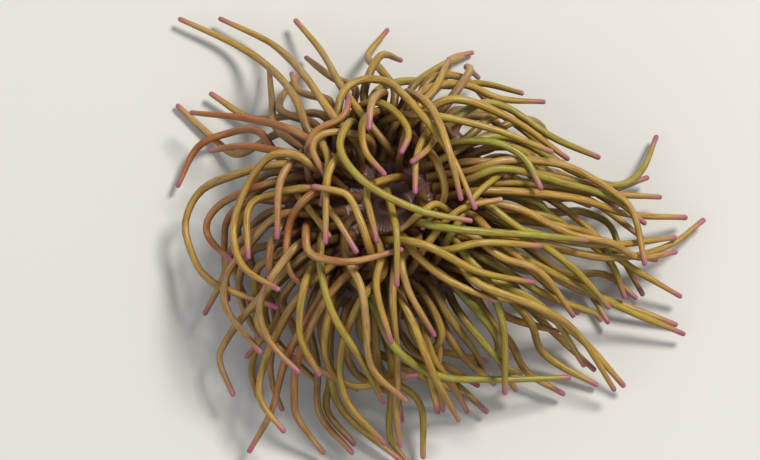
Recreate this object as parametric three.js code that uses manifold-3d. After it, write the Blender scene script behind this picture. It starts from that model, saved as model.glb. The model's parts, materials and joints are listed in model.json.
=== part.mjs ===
// Snakelocks anemone (Anemonia viridis), life size, as a still model.
//
// Millimetres, +Z up.  The origin is the middle of the sole, on the floor.
// A broad sole carries a short waisted column, a flared collar and the oral disc with
// its mouth.  Five rings of tentacles spring from the rim of the disc and lie over one
// another in a combed mound.  Each tentacle is a tapering tube with a blunt tip.
//
// The tentacles are made in three steps: their lie is planned, crossing tentacles are
// pushed apart until they clear each other, and a faceted tube is bent along each one.

import * as THREE from 'three';
import { mergeVertices } from 'three/addons/utils/BufferGeometryUtils.js';
import Module from 'manifold-3d';

const wasm = await Module();
wasm.setup();

// ---------------------------------------------------------------------------------
// Driving dimensions
// ---------------------------------------------------------------------------------

// Body, as radius and height pairs from the axis outwards and back.
const SOLE_RADIUS = 30;
const SOLE_HEIGHT = 4.5;
const WAIST_RADIUS = 23.5;
const COLUMN_TOP = 30;
const RIM_RADIUS = 35;
const RIM_HEIGHT = 34;
const DISC_RADIUS = 8.2;
const DISC_HEIGHT = 38.5;
const JOIN_GAP = 0.3;
const LEAST_DETAIL = 0.02;
const BODY_FACETS = 24;
const SECTORS = 12;

// Rings of tentacles, from the mouth outwards.  tilt is the lean of the root from upright,
// lie is the part of the mound's height at which the ring's tentacles lie, and splay is how
// far they leave the disc outwards (1) and not in the direction of their neighbours (0).
const RINGS = [
  { count: 12, radius: 11, tilt: 15, lie: [0.98, 1.08], splay: 0 },
  { count: 24, radius: 16.5, tilt: 25, lie: [0.88, 1], splay: 0.2 },
  { count: 24, radius: 21.5, tilt: 35, lie: [0.75, 0.92], splay: 0.45 },
  { count: 36, radius: 26.5, tilt: 45, lie: [0.5, 0.8], splay: 0.75 },
  { count: 48, radius: 31.5, tilt: 56, lie: [0.12, 0.55], splay: 1 },
];
const ROOT_SPREAD = 0.9;
const LEAD_IN = 14;
const MISFIT_COST = 50;
const TURN_COST = 12;
const ROOT_LEAN = 0.4;
const ROOT_DEPTH = 1.4;
const ROOT_LENGTH = 7;
const NEAREST_MARK = 9;

// Radius of a tentacle along its length, from root (0) to tip (1).
const THICKNESS = [[0, 1.5], [0.12, 1.45], [0.45, 1.38], [0.85, 1.15], [1, 0.85]];
const TUBE_SIDES = 4;
const TUBE_FULLNESS = 1.15;

// The mound that the tentacles make: its height over the middle, and its reach in twelve
// directions from +X round by +Y.  The current has drawn it out towards +X.
const MOUND_HEIGHT = 60;
const MOUND_EDGE = 5;
const MOUND_REACH = [110, 92, 72, 68, 82, 96, 86, 84, 98, 88, 76, 104];
const CURRENT = THREE.MathUtils.degToRad(-20);

// Tentacles whose lie is posed by hand.  A row holds how high the tentacle lies, as a part
// of the mound's height, and the places it passes, in millimetres on a drawing board that
// is centred on the oral disc and seen from BOARD_TILT degrees above the floor.
const BOARD_TILT = 75;
const POSED = [
  // right side, from the top round to the bottom
  [1.00, [0, 40], [17, 46], [30, 44], [41, 35]],
  [0.95, [15, 40], [23, 52], [33, 53]],
  [0.98, [14, 34], [30, 37], [43, 36], [56, 37]],
  [1.04, [12, 30], [17, 37], [19, 44]],
  [1.06, [-13, 38], [-3, 38], [10, 30], [22, 13], [27, -3]],
  [1.02, [13, 25], [33, 20], [47, 14], [57, 12]],
  [0.97, [30, 32], [47, 25], [57, 19], [72, 16]],
  [0.93, [30, 28], [45, 22], [67, 13]],
  [1.00, [36, 22], [42, 15], [45, 8], [50, 2]],
  [0.92, [33, 24], [57, 13], [75, 6], [87, 13], [92, 24]],
  [0.85, [30, 10], [60, 8], [77, 5], [95, 6]],
  [0.90, [30, 6], [70, 2], [83, -3], [102, -4]],
  [1.00, [30, 16], [57, 13], [70, 4], [76, -2], [76, -12], [73, -23]],
  [0.95, [30, 12], [60, 6], [77, 2], [86, -8]],
  [0.85, [33, -6], [70, -13], [98, -14]],
  [0.92, [33, -10], [60, -16], [83, -17], [100, -11], [107, -4]],
  [1.04, [17, -7], [30, -8], [43, -9], [57, -13], [67, -12]],
  [0.98, [22, -9], [37, -13], [52, -13]],
  [1.03, [3, -10], [13, -12], [23, -17], [33, -23], [47, -26]],
  [1.00, [10, -13], [17, -20], [22, -25], [37, -30]],
  [0.95, [20, -20], [37, -28], [53, -28]],
  [0.95, [33, -14], [53, -25], [63, -35], [70, -43]],
  [0.97, [30, -16], [57, -30], [63, -32], [69, -36], [67, -39]],
  [0.90, [35, -8], [67, -27], [76, -38]],
  [0.85, [38, -12], [57, -22], [77, -34], [87, -38], [103, -45]],
  [0.90, [-7, -34], [3, -47], [23, -54], [43, -55], [64, -57]],
  [0.95, [25, -22], [45, -32], [57, -45], [66, -55]],
  [0.98, [30, -20], [36, -32], [36, -47], [37, -61]],
  [1.00, [10, -20], [13, -32], [13, -48]],
  [1.02, [2, -8], [3, -15], [2, -28]],
  [1.00, [-5, -18], [-4, -35], [0, -47]],
  // left side, from the top round to the bottom
  [1.09, [-14, 28], [-18, 20], [-13, 12], [2, 2], [14, -4], [27, -6]],
  [1.03, [-9, 27], [-10, 20], [-7, 14], [3, 10]],
  [1.05, [3, 30], [8, 27], [7, 20], [3, 17]],
  [1.02, [-25, 22], [-29, 17], [-26, 13], [-18, 12]],
  [1.03, [-29, 22], [-18, 26], [-16, 29], [-21, 31]],
  [1.00, [-30, 14], [-38, 16], [-48, 5], [-51, -10], [-44, -23], [-30, -31]],
  [0.92, [-36, 14], [-64, 6], [-70, -6], [-63, -19], [-47, -26], [-35, -31]],
  [0.85, [-40, 4], [-58, 0], [-63, -5], [-58, -11], [-51, -12]],
  [0.98, [-30, 4], [-44, 2], [-45, -5], [-40, -18]],
  [1.02, [-26, 2], [-33, -5], [-34, -12], [-30, -24], [-24, -27]],
  [1.04, [-20, 13], [-21, 5], [-21, -15]],
  [1.06, [-10, -12], [-9, 0], [-13, 2], [-18, -1], [-23, -4]],
  [1.04, [-26, -11], [-25, -17], [-15, -18], [-3, -16], [7, -12]],
  [0.95, [-33, -8], [-53, -20], [-53, -31], [-47, -39], [-37, -47]],
  [1.00, [-24, -12], [-23, -28], [-15, -43], [-4, -57], [-1, -68]],
  [0.95, [-25, -20], [-47, -39], [-57, -48], [-56, -58], [-52, -65]],
  [0.97, [-28, -15], [-41, -35], [-36, -52], [-27, -58]],
  [1.00, [-24, -20], [-29, -40], [-24, -52], [-23, -57]],
  [0.90, [-20, -25], [-40, -56], [-36, -67], [-17, -64]],
  [0.85, [-25, -25], [-44, -60], [-41, -70], [-33, -77]],
  [0.80, [-22, -28], [-38, -60], [-40, -73], [-48, -84]],
  [0.95, [-10, -30], [-17, -62], [-5, -77], [0, -82]],
  [0.90, [3, -30], [2, -53], [3, -65], [1, -75], [4, -85]],
  [0.80, [-15, -28], [-20, -58], [-7, -58], [8, -50]],
  // far side, swept back
  [0.95, [-20, 30], [-40, 57], [-53, 62], [-63, 67]],
  [0.90, [-24, 28], [-50, 54], [-67, 62], [-75, 66]],
  [0.90, [-30, 20], [-50, 30], [-70, 32]],
  [0.90, [-32, 16], [-50, 20], [-63, 18]],
  [0.95, [-14, 32], [-25, 56], [-34, 66]],
  [0.92, [-5, 34], [-8, 52], [0, 62]],
  // over the middle of the disc
  [1.03, [17, 23], [13, 17], [9, 13], [3, 10]],
  [1.02, [-4, 27], [-5, 22], [-4, 17], [-1, 13]],
  [1.02, [9, 15], [8, 8], [8, 0]],
  [1.00, [16, 15], [20, 8], [19, 2], [16, -4]],
  [1.02, [22, -5], [15, -6], [11, -11], [10, -18]],
  [1.03, [-8, 5], [-7, 0], [-6, -6], [-5, -13]],
  [1.00, [-20, -3], [-16, -9], [-12, -14]],
  [0.98, [-28, 2], [-25, -6], [-21, -14]],
  [1.00, [-24, 16], [-25, 7], [-23, -3]],
  [1.04, [10, 28], [16, 20], [21, 10], [25, -1], [26, -8]],
  [0.97, [25, 1], [32, 9], [39, 15]],
  [0.98, [24, -4], [30, 1], [38, 4]],
  [1.00, [-36, 8], [-36, -3], [-36, -16]],
  [0.98, [-32, -14], [-34, -20], [-30, -27]],
];

// Tentacles that grow between the posed ones.  Length is a part of the way to the mound's
// edge.  Sway is the angle by which the heading swings from side to side, and curl is the
// angle added at each step near the tip.  Both are larger against the current.
const GROWN_LENGTH = [0.75, 1.05];
const GROWN_STEP = 3;
const SWAY = [0.15, 0.4];
const SWAY_LENGTH = 13;
const SWAY_AGAINST = 0.5;
const CURL = 0.12;
const CURL_AGAINST = 1.5;
const CURL_START = 25;
const CURL_RISE = 15;
const LEAVE_LENGTH = 4;
const COMB_IN_LENGTH = 26;
const COMB_SOFTNESS = 30;
const SHARPEST_TURN = 0.2;
const STEEPEST_DROP = 0.75;
const STEEPEST_RISE = 0.3;

// How finely a tentacle is faceted: one span for each length or each turn.
const CURVE_STEPS = 12;
const SPAN_LENGTH = 36;
const SPAN_TURN = THREE.MathUtils.degToRad(68);
const FEWEST_SPANS = 4;

// How far crossing tentacles are kept apart, and how low one may lie, in its own radii.
const CLEARANCE = 1;
const OWN_CLEARANCE = 0.3;
const LOWEST_LIE = 0.8;

// How the tentacles are pushed apart: the rounds in all, those at the end without a pull to
// the plan, and those at the very end that only push.
const SETTLE_ROUNDS = 600;
const FREE_ROUNDS = 250;
const LAST_ROUNDS = 60;
const SHARPEST_BEND = THREE.MathUtils.degToRad(45);
const EASE_RATE = 0.4;
const PULL_ACROSS = 0.01;
const PULL_UP = 0.004;
const KEEP_BEND = 0.3;
const PUSH_RATE = 1.5;
const SAMPLE_STEP = 3;
const PAIR_ROUNDS = 10;
const PAIR_MARGIN = 3;

// The longest posed tentacles are divided into lengths, at these parts of their stations.
const LONG_TENTACLES = 21;
const LENGTH_CUTS = [0.4, 0.72];

// ---------------------------------------------------------------------------------
// Small helpers
// ---------------------------------------------------------------------------------

const FULL_TURN = 2 * Math.PI;

let randomState = 7;

function random() {
  randomState = (Math.imul(randomState, 1664525) + 1013904223) >>> 0;
  return randomState / 4294967296;
}

function between(low, high) {
  return low + (high - low) * random();
}

function smoothstep(value) {
  const inside = Math.min(1, Math.max(0, value));
  return inside * inside * (3 - 2 * inside);
}

// The radius of a tentacle at one part of its length.
function thicknessAt(part) {
  let index = 1;
  while (index < THICKNESS.length - 1 && THICKNESS[index][0] < part) {
    index += 1;
  }
  const [startPart, startRadius] = THICKNESS[index - 1];
  const [endPart, endRadius] = THICKNESS[index];
  const share = (part - startPart) / (endPart - startPart);
  return startRadius + (endRadius - startRadius) * share;
}

// ---------------------------------------------------------------------------------
// The lie of the tentacles
// ---------------------------------------------------------------------------------

// How far the mound reaches in one direction, and how high it is at one place.
function moundReach(azimuth) {
  const place = (azimuth / FULL_TURN + 1) * MOUND_REACH.length;
  const before = Math.floor(place);
  const share = smoothstep(place - before);
  const from = MOUND_REACH[before % MOUND_REACH.length];
  const to = MOUND_REACH[(before + 1) % MOUND_REACH.length];
  return from + (to - from) * share;
}

function moundHeight(x, y) {
  const part = Math.min(1, Math.hypot(x, y) / moundReach(Math.atan2(y, x)));
  return MOUND_EDGE + (MOUND_HEIGHT - MOUND_EDGE) * Math.pow(1 - part * part, 1.5);
}

// The sector of the rim in which an azimuth falls.
function sectorAt(azimuth) {
  return Math.floor((azimuth / FULL_TURN) * SECTORS);
}

// Roots stand evenly within each sector of the rim, a little clear of its two sides.
function makeRoots() {
  const roots = [];
  for (const ring of RINGS) {
    for (let index = 0; index < ring.count; index += 1) {
      const even = ((index + 0.5) * FULL_TURN) / ring.count;
      const middle = ((sectorAt(even) + 0.5) * FULL_TURN) / SECTORS;
      const azimuth = middle + ROOT_SPREAD * (even - middle);
      roots.push({
        ring,
        azimuth,
        x: ring.radius * Math.cos(azimuth),
        y: ring.radius * Math.sin(azimuth),
        taken: false,
      });
    }
  }
  return roots;
}

// A place on the drawing board, brought down to the height at which the tentacle lies there.
function fromBoard([across, up], lie) {
  const tilt = THREE.MathUtils.degToRad(BOARD_TILT);
  const place = new THREE.Vector3(across, up, 0);
  for (let pass = 0; pass < 8; pass += 1) {
    place.z = lie * moundHeight(place.x, place.y);
    place.y = (up - (place.z - DISC_HEIGHT) * Math.cos(tilt)) / Math.sin(tilt);
  }
  return place;
}

// The free root that suits a tentacle best: a little way behind its first place, and the
// higher the tentacle lies, the nearer to the mouth.
function bestFreeRoot(roots, [first, second], lie) {
  const ahead = second.clone().sub(first).setZ(0).normalize();
  const wanted = first.clone().addScaledVector(ahead, -LEAD_IN);
  let best = null;
  let least = Infinity;
  for (const root of roots) {
    const [low, high] = root.ring.lie;
    const distance = Math.hypot(root.x - wanted.x, root.y - wanted.y);
    const toFirst = new THREE.Vector3(first.x - root.x, first.y - root.y, 0).normalize();
    const turned = 1 - toFirst.dot(ahead);
    const misfit = Math.abs(lie - (low + high) / 2);
    const cost = distance + MISFIT_COST * misfit + TURN_COST * turned;
    if (!root.taken && cost < least) {
      best = root;
      least = cost;
    }
  }
  return best;
}

// The first two points of a tentacle: inside the rim, and where it has risen from it.
function rootPoints(root, towards) {
  const tilt = THREE.MathUtils.degToRad(root.ring.tilt);
  const lean = new THREE.Vector2(root.x, root.y).setLength(Math.sin(tilt));
  lean.addScaledVector(towards.clone().normalize(), ROOT_LEAN);
  const rise = new THREE.Vector3(lean.x, lean.y, Math.cos(tilt)).normalize();
  const start = new THREE.Vector3(root.x, root.y, DISC_HEIGHT - ROOT_DEPTH);
  return [start, start.clone().addScaledVector(rise, ROOT_LENGTH)];
}

// A posed tentacle: a smooth curve from its root through its places.
function posedLie(row, roots) {
  const [lie, ...marks] = row;
  const places = marks.map((mark) => fromBoard(mark, lie));
  const root = bestFreeRoot(roots, places, lie);
  root.taken = true;
  const first = Math.hypot(places[0].x - root.x, places[0].y - root.y);
  const passed = first < NEAREST_MARK ? places.slice(1) : places;
  const towards = new THREE.Vector2(passed[0].x - root.x, passed[0].y - root.y);
  const controls = [...rootPoints(root, towards), ...passed];
  const curve = new THREE.CatmullRomCurve3(controls, false, 'centripetal');
  return { root, dense: curve.getPoints(CURVE_STEPS * (controls.length - 1)), posed: true };
}

// Directions in which the posed tentacles lie, sampled along them past their roots.
function makeComb(posed) {
  const teeth = [];
  const stride = CURVE_STEPS / 4;
  for (const { dense } of posed) {
    for (let index = CURVE_STEPS; index + stride < dense.length; index += stride) {
      const along = dense[index + stride].clone().sub(dense[index]).setZ(0).normalize();
      teeth.push({ x: dense[index].x, y: dense[index].y, alongX: along.x, alongY: along.y });
    }
  }
  return teeth;
}

function combedDirection(comb, x, y) {
  let sumX = 0;
  let sumY = 0;
  for (const tooth of comb) {
    const apart = (tooth.x - x) ** 2 + (tooth.y - y) ** 2 + COMB_SOFTNESS;
    sumX += tooth.alongX / (apart * apart);
    sumY += tooth.alongY / (apart * apart);
  }
  const size = Math.hypot(sumX, sumY) + 1e-9;
  return [sumX / size, sumY / size];
}

// A tentacle that follows its neighbours: it leaves the rim outwards, bends into the
// direction in which the posed ones lie around it, and curls a little at its tip.
function grownLie(root, comb) {
  const { ring, azimuth } = root;
  const reach = moundReach(azimuth) - ring.radius;
  const length = Math.hypot(reach, DISC_HEIGHT) * between(...GROWN_LENGTH);
  const lie = between(...ring.lie);
  const against = (1 - Math.cos(azimuth - CURRENT)) / 2;
  const swayReach = between(...SWAY) + SWAY_AGAINST * against;
  const swayPhase = between(0, FULL_TURN);
  const curl = between(-CURL, CURL) * (1 + CURL_AGAINST * against);
  const [besideX, besideY] = combedDirection(comb, root.x, root.y);
  const leaving = new THREE.Vector2(
    Math.cos(azimuth) * ring.splay + besideX * (1 - ring.splay),
    Math.sin(azimuth) * ring.splay + besideY * (1 - ring.splay),
  ).normalize();
  const [start, raised] = rootPoints(root, leaving);
  const dense = [start, raised];
  const place = raised.clone();
  let heading = Math.atan2(leaving.y, leaving.x);
  for (let travelled = ROOT_LENGTH; travelled < length; travelled += GROWN_STEP) {
    const [combX, combY] = combedDirection(comb, place.x, place.y);
    const follow = smoothstep((travelled - LEAVE_LENGTH) / COMB_IN_LENGTH);
    const wantX = combX * follow + leaving.x * (1 - follow);
    const wantY = combY * follow + leaving.y * (1 - follow);
    const sway = swayReach * Math.sin(travelled / SWAY_LENGTH + swayPhase);
    const wanted = Math.atan2(wantY, wantX) + sway;
    const turn = Math.atan2(Math.sin(wanted - heading), Math.cos(wanted - heading));
    heading += Math.max(-SHARPEST_TURN, Math.min(SHARPEST_TURN, turn));
    heading += curl * smoothstep((travelled - length + CURL_START) / CURL_RISE);
    const wantedRise = lie * moundHeight(place.x, place.y) - place.z;
    const least = -STEEPEST_DROP * GROWN_STEP;
    const rise = Math.max(least, Math.min(STEEPEST_RISE * GROWN_STEP, wantedRise));
    const advance = Math.sqrt(GROWN_STEP * GROWN_STEP - rise * rise);
    place.x += advance * Math.cos(heading);
    place.y += advance * Math.sin(heading);
    place.z += rise;
    dense.push(place.clone());
  }
  return { root, dense, posed: false };
}

// Stations along a dense line, closer together where it bends.
function placeStations(dense) {
  const measure = [0];
  for (let index = 1; index < dense.length; index += 1) {
    const ahead = dense[index].clone().sub(dense[index - 1]);
    let turn = 0;
    if (index > 1) {
      turn = ahead.angleTo(dense[index - 1].clone().sub(dense[index - 2]));
    }
    measure.push(measure[index - 1] + ahead.length() / SPAN_LENGTH + turn / SPAN_TURN);
  }
  const total = measure[measure.length - 1];
  const spans = Math.max(FEWEST_SPANS, Math.round(total));
  const stations = [];
  let index = 1;
  for (let station = 0; station <= spans; station += 1) {
    const wanted = (total * station) / spans;
    while (index < measure.length - 1 && measure[index] < wanted) {
      index += 1;
    }
    const share = (wanted - measure[index - 1]) / (measure[index] - measure[index - 1]);
    stations.push(dense[index - 1].clone().lerp(dense[index], share));
  }
  return stations;
}

// All the tentacles as planned, before they are pushed apart.
function planTentacles() {
  const roots = makeRoots();
  const posed = POSED.map((row) => posedLie(row, roots));
  const comb = makeComb(posed);
  const grown = roots.filter((root) => !root.taken).map((root) => grownLie(root, comb));
  return [...posed, ...grown].map(({ root, dense, posed: isPosed }) => {
    const points = placeStations(dense);
    const lengths = points.slice(1).map((point, index) => point.distanceTo(points[index]));
    const whole = lengths.reduce((sum, length) => sum + length, 0);
    let travelled = 0;
    const radii = [thicknessAt(0)];
    for (const length of lengths) {
      travelled += length;
      radii.push(thicknessAt(travelled / whole));
    }
    return { root, points, lengths, radii, whole, posed: isPosed };
  });
}

// ---------------------------------------------------------------------------------
// Pushing crossing tentacles apart
// ---------------------------------------------------------------------------------

// Balls strung along each tentacle.  Ball k sits between points a and a + 1.
function stringBalls(tentacles) {
  const balls = [];
  let first = 0;
  tentacles.forEach(({ lengths, radii }, owner) => {
    let travelled = 0;
    lengths.forEach((length, span) => {
      const count = Math.ceil(length / SAMPLE_STEP);
      for (let index = 0; index < count; index += 1) {
        const share = (index + 0.5) / count;
        balls.push({
          owner,
          span,
          a: first + span,
          share,
          fromRoot: travelled + length * share,
          radius: radii[span] * (1 - share) + radii[span + 1] * share,
        });
      }
      travelled += length;
    });
    first += lengths.length + 1;
  });
  return balls;
}

// Where the balls are now.
function ballPlaces(balls, points) {
  return balls.map(({ a, share }) => points[a].clone().lerp(points[a + 1], share));
}

// Pairs of balls that are close enough to touch within the next few rounds.
function nearPairs(balls, places) {
  const cell = 2 * THICKNESS[0][1] + CLEARANCE + PAIR_MARGIN;
  const grid = new Map();
  const key = (x, y, z) => `${x},${y},${z}`;
  const cells = places.map(({ x, y, z }) => [x, y, z].map((v) => Math.floor(v / cell)));
  cells.forEach(([x, y, z], index) => {
    const name = key(x, y, z);
    if (!grid.has(name)) {
      grid.set(name, []);
    }
    grid.get(name).push(index);
  });
  const pairs = [];
  cells.forEach(([x, y, z], first) => {
    for (let nearby = 0; nearby < 27; nearby += 1) {
      const dx = (nearby % 3) - 1;
      const dy = (Math.floor(nearby / 3) % 3) - 1;
      const dz = Math.floor(nearby / 9) - 1;
      for (const second of grid.get(key(x + dx, y + dy, z + dz)) ?? []) {
        if (second > first && mayTouch(balls[first], balls[second])) {
          const reach = balls[first].radius + balls[second].radius + CLEARANCE + PAIR_MARGIN;
          if (places[first].distanceTo(places[second]) < reach) {
            pairs.push([first, second]);
          }
        }
      }
    }
  });
  return pairs;
}

// Neighbouring spans of one tentacle don't push each other, nor do the roots in the rim.
function mayTouch(one, other) {
  if (one.owner === other.owner) {
    return Math.abs(one.span - other.span) > 1;
  }
  return Math.max(one.fromRoot, other.fromRoot) > ROOT_DEPTH;
}

// The points of all tentacles are moved round by round, each list in one order.
function settle(tentacles) {
  const points = tentacles.flatMap((tentacle) => tentacle.points);
  const planned = points.map((point) => point.clone());
  const radii = tentacles.flatMap((tentacle) => tentacle.radii);
  const rooted = tentacles.flatMap(({ points: own }) => own.map((_, index) => index === 0));
  const ended = tentacles.flatMap(({ points: own }) =>
    own.map((_, index) => index === own.length - 1),
  );
  const lengths = tentacles.flatMap((tentacle) => [...tentacle.lengths, 0]);
  const order = tentacles.flatMap(({ points: own }) => own.map((_, index) => index));
  const balls = stringBalls(tentacles);
  let pairs = [];

  for (let round = 0; round < SETTLE_ROUNDS; round += 1) {
    const left = SETTLE_ROUNDS - round;
    if (left > FREE_ROUNDS) {
      pullToPlan(points, planned, rooted, ended);
    }
    if (left > LAST_ROUNDS) {
      easeBends(points, lengths, rooted, ended);
      for (const parity of [0, 1]) {
        for (let index = 0; index + 1 < points.length; index += 1) {
          if (!ended[index] && order[index] % 2 === parity) {
            keepLength(points[index], points[index + 1], lengths[index], rooted[index]);
          }
        }
      }
    }
    const places = ballPlaces(balls, points);
    if (round % PAIR_ROUNDS === 0) {
      pairs = nearPairs(balls, places);
    }
    pushApart(points, balls, places, pairs, rooted);
    for (let index = 0; index < points.length; index += 1) {
      points[index].z = Math.max(points[index].z, LOWEST_LIE * radii[index]);
    }
  }
}

// Where a tentacle bends too sharply, its point and the two beside it close the bend.
function easeBends(points, lengths, rooted, ended) {
  const before = points.map((point) => point.clone());
  points.forEach((point, index) => {
    if (rooted[index] || ended[index]) {
      return;
    }
    const both = lengths[index - 1] + lengths[index];
    const chord = before[index - 1].clone().lerp(before[index + 1], lengths[index - 1] / both);
    const offset = chord.sub(before[index]);
    const most = (SHARPEST_BEND * lengths[index - 1] * lengths[index]) / both;
    const excess = 1 - most / (offset.length() + 1e-9);
    if (excess > 0) {
      point.addScaledVector(offset, EASE_RATE * excess);
      points[index + 1].addScaledVector(offset, (-EASE_RATE / 2) * excess);
      if (!rooted[index - 1]) {
        points[index - 1].addScaledVector(offset, (-EASE_RATE / 2) * excess);
      }
    }
  });
}

// Each point is drawn to its planned place, and each bend to its planned bend.
function pullToPlan(points, planned, rooted, ended) {
  const before = points.map((point) => point.clone());
  points.forEach((point, index) => {
    if (rooted[index]) {
      return;
    }
    point.x += PULL_ACROSS * (planned[index].x - before[index].x);
    point.y += PULL_ACROSS * (planned[index].y - before[index].y);
    point.z += PULL_UP * (planned[index].z - before[index].z);
    if (!ended[index]) {
      const offset = before[index - 1].clone().add(before[index + 1]).multiplyScalar(0.5);
      const wanted = planned[index - 1].clone().add(planned[index + 1]).multiplyScalar(0.5);
      offset.sub(before[index]).sub(wanted.sub(planned[index]));
      point.addScaledVector(offset, KEEP_BEND);
    }
  });
}

// Balls that are too close push each other apart, and the rim pushes balls out of itself.
// Each push is shared between the two points that its ball sits between.
function pushApart(points, balls, places, pairs, rooted) {
  const moves = points.map(() => new THREE.Vector3());
  const weights = points.map(() => 0);
  const push = (ball, x, y, z) => {
    const { a, share } = ball;
    const scale = 1 / (share * share + (1 - share) * (1 - share));
    for (const [index, weight] of [[a, scale * (1 - share)], [a + 1, scale * share]]) {
      moves[index].x += weight * x;
      moves[index].y += weight * y;
      moves[index].z += weight * z;
      weights[index] += weight;
    }
  };
  for (const [first, second] of pairs) {
    const one = places[first];
    const other = places[second];
    const x = one.x - other.x;
    const y = one.y - other.y;
    const z = one.z - other.z;
    const distance = Math.sqrt(x * x + y * y + z * z) + 1e-9;
    const clearance = balls[first].owner === balls[second].owner ? OWN_CLEARANCE : CLEARANCE;
    const lack = balls[first].radius + balls[second].radius + clearance - distance;
    if (lack > 0) {
      const size = lack / 2 / distance;
      push(balls[first], x * size, y * size, z * size);
      push(balls[second], -x * size, -y * size, -z * size);
    }
  }
  balls.forEach((ball, index) => {
    if (ball.fromRoot > ROOT_LENGTH - 1) {
      const { x, y, z } = places[index];
      const distance = Math.hypot(x, y) + 1e-9;
      const inwards = RIM_RADIUS + ball.radius + CLEARANCE - distance;
      const below = DISC_HEIGHT + ball.radius + CLEARANCE - z;
      if (inwards > 0 && below > 0) {
        if (inwards < below) {
          push(ball, (x * inwards) / distance, (y * inwards) / distance, 0);
        } else {
          push(ball, 0, 0, below);
        }
      }
    }
  });
  points.forEach((point, index) => {
    if (!rooted[index]) {
      point.addScaledVector(moves[index], PUSH_RATE / Math.max(1, weights[index]));
    }
  });
}

// The two ends of a span move along it until it has its own length again.
function keepLength(start, end, length, startFixed) {
  const along = end.clone().sub(start);
  const distance = along.length() + 1e-9;
  const excess = (distance - length) / distance;
  const startShare = startFixed ? 0 : 0.5;
  start.addScaledVector(along, excess * startShare);
  end.addScaledVector(along, -excess * (1 - startShare));
}

// ---------------------------------------------------------------------------------
// Solids
// ---------------------------------------------------------------------------------

// A closed three.js geometry as a solid for joining and cutting.
function toSolid(geometry) {
  const bare = new THREE.BufferGeometry();
  bare.setAttribute('position', geometry.getAttribute('position'));
  bare.setIndex(geometry.getIndex());
  const merged = mergeVertices(bare, 1e-4);
  const index = Array.from(merged.getIndex().array);
  const triangles = [];
  for (let corner = 0; corner < index.length; corner += 3) {
    const [a, b, c] = index.slice(corner, corner + 3);
    if (a !== b && b !== c && c !== a) {
      triangles.push(a, b, c);
    }
  }
  return new wasm.Manifold(
    new wasm.Mesh({
      numProp: 3,
      vertProperties: new Float32Array(merged.getAttribute('position').array),
      triVerts: new Uint32Array(triangles),
    }),
  );
}

// A solid as a three.js geometry.
function toGeometry(solid) {
  const mesh = solid.getMesh();
  const geometry = new THREE.BufferGeometry();
  geometry.setAttribute('position', new THREE.BufferAttribute(mesh.vertProperties, 3));
  geometry.setIndex(new THREE.BufferAttribute(mesh.triVerts, 1));
  geometry.computeVertexNormals();
  return geometry;
}

// A body of revolution about +Z from radius and height pairs.
function turned(profile, facets = BODY_FACETS) {
  const outline = profile.map(([radius, height]) => new THREE.Vector2(radius, height));
  const geometry = new THREE.LatheGeometry(outline, facets);
  geometry.rotateX(Math.PI / 2);
  return toSolid(geometry);
}

// A straight tapering tube along +Z, bent along a line of points.  ends moves the first
// and last ring along the line, to leave a gap to the next length of the same tentacle.
function tentacleTube(points, radii, tangents, ends = [0, 0]) {
  const last = points.length - 1;
  const outline = [new THREE.Vector2(0, 0)];
  radii.forEach((radius, station) => {
    outline.push(new THREE.Vector2(radius * TUBE_FULLNESS, station));
  });
  outline.push(new THREE.Vector2(0, last));
  const geometry = new THREE.LatheGeometry(outline, TUBE_SIDES);
  geometry.rotateX(Math.PI / 2);
  geometry.rotateZ(Math.PI / TUBE_SIDES);

  const frames = carriedFrames(points, tangents);
  const place = geometry.getAttribute('position');
  for (let index = 0; index < place.count; index += 1) {
    const station = Math.round(place.getZ(index));
    const { right, up, along } = frames[station];
    const slide = station === 0 ? ends[0] : station === last ? ends[1] : 0;
    const bent = points[station]
      .clone()
      .addScaledVector(right, place.getX(index))
      .addScaledVector(up, place.getY(index))
      .addScaledVector(along, slide);
    place.setXYZ(index, bent.x, bent.y, bent.z);
  }
  return toSolid(geometry);
}

// Frames carried along the line without twisting.
function carriedFrames(points, tangents) {
  let right = new THREE.Vector3(0, 0, 1).cross(tangents[0]);
  if (right.length() < 0.1) {
    right.set(1, 0, 0);
  }
  return points.map((_, station) => {
    const along = tangents[station];
    right = right.clone().addScaledVector(along, -right.dot(along)).normalize();
    return { right, up: along.clone().cross(right), along };
  });
}

// The direction of the line at each of its points.
function lineTangents(points) {
  return points.map((point, station) => {
    const ahead = points[Math.min(station + 1, points.length - 1)];
    const behind = points[Math.max(station - 1, 0)];
    const incoming = point.clone().sub(behind).normalize();
    const outgoing = ahead.clone().sub(point).normalize();
    return incoming.add(outgoing).normalize();
  });
}

// What would lie below the floor is cut to a flat on it.
function aboveFloor(solid) {
  const room = new THREE.BoxGeometry(400, 400, 200);
  room.translate(0, 0, 100);
  return solid.intersect(toSolid(room));
}

// ---------------------------------------------------------------------------------
// Sub-parts
// ---------------------------------------------------------------------------------

const model = new THREE.Group();

const finishes = {
  foot: { color: 0x5a4034, roughness: 0.6, metalness: 0 },
  column: { color: 0x5f4338, roughness: 0.5, metalness: 0 },
  disc: { color: 0x7d6a48, roughness: 0.5, metalness: 0 },
  tentacle: { color: 0xa8954b, roughness: 0.4, metalness: 0 },
  tip: { color: 0xb87a90, roughness: 0.4, metalness: 0 },
};

function addPart(name, solid, finish) {
  const mesh = new THREE.Mesh(toGeometry(solid), new THREE.MeshStandardMaterial(finish));
  mesh.name = name;
  model.add(mesh);
}

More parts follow.
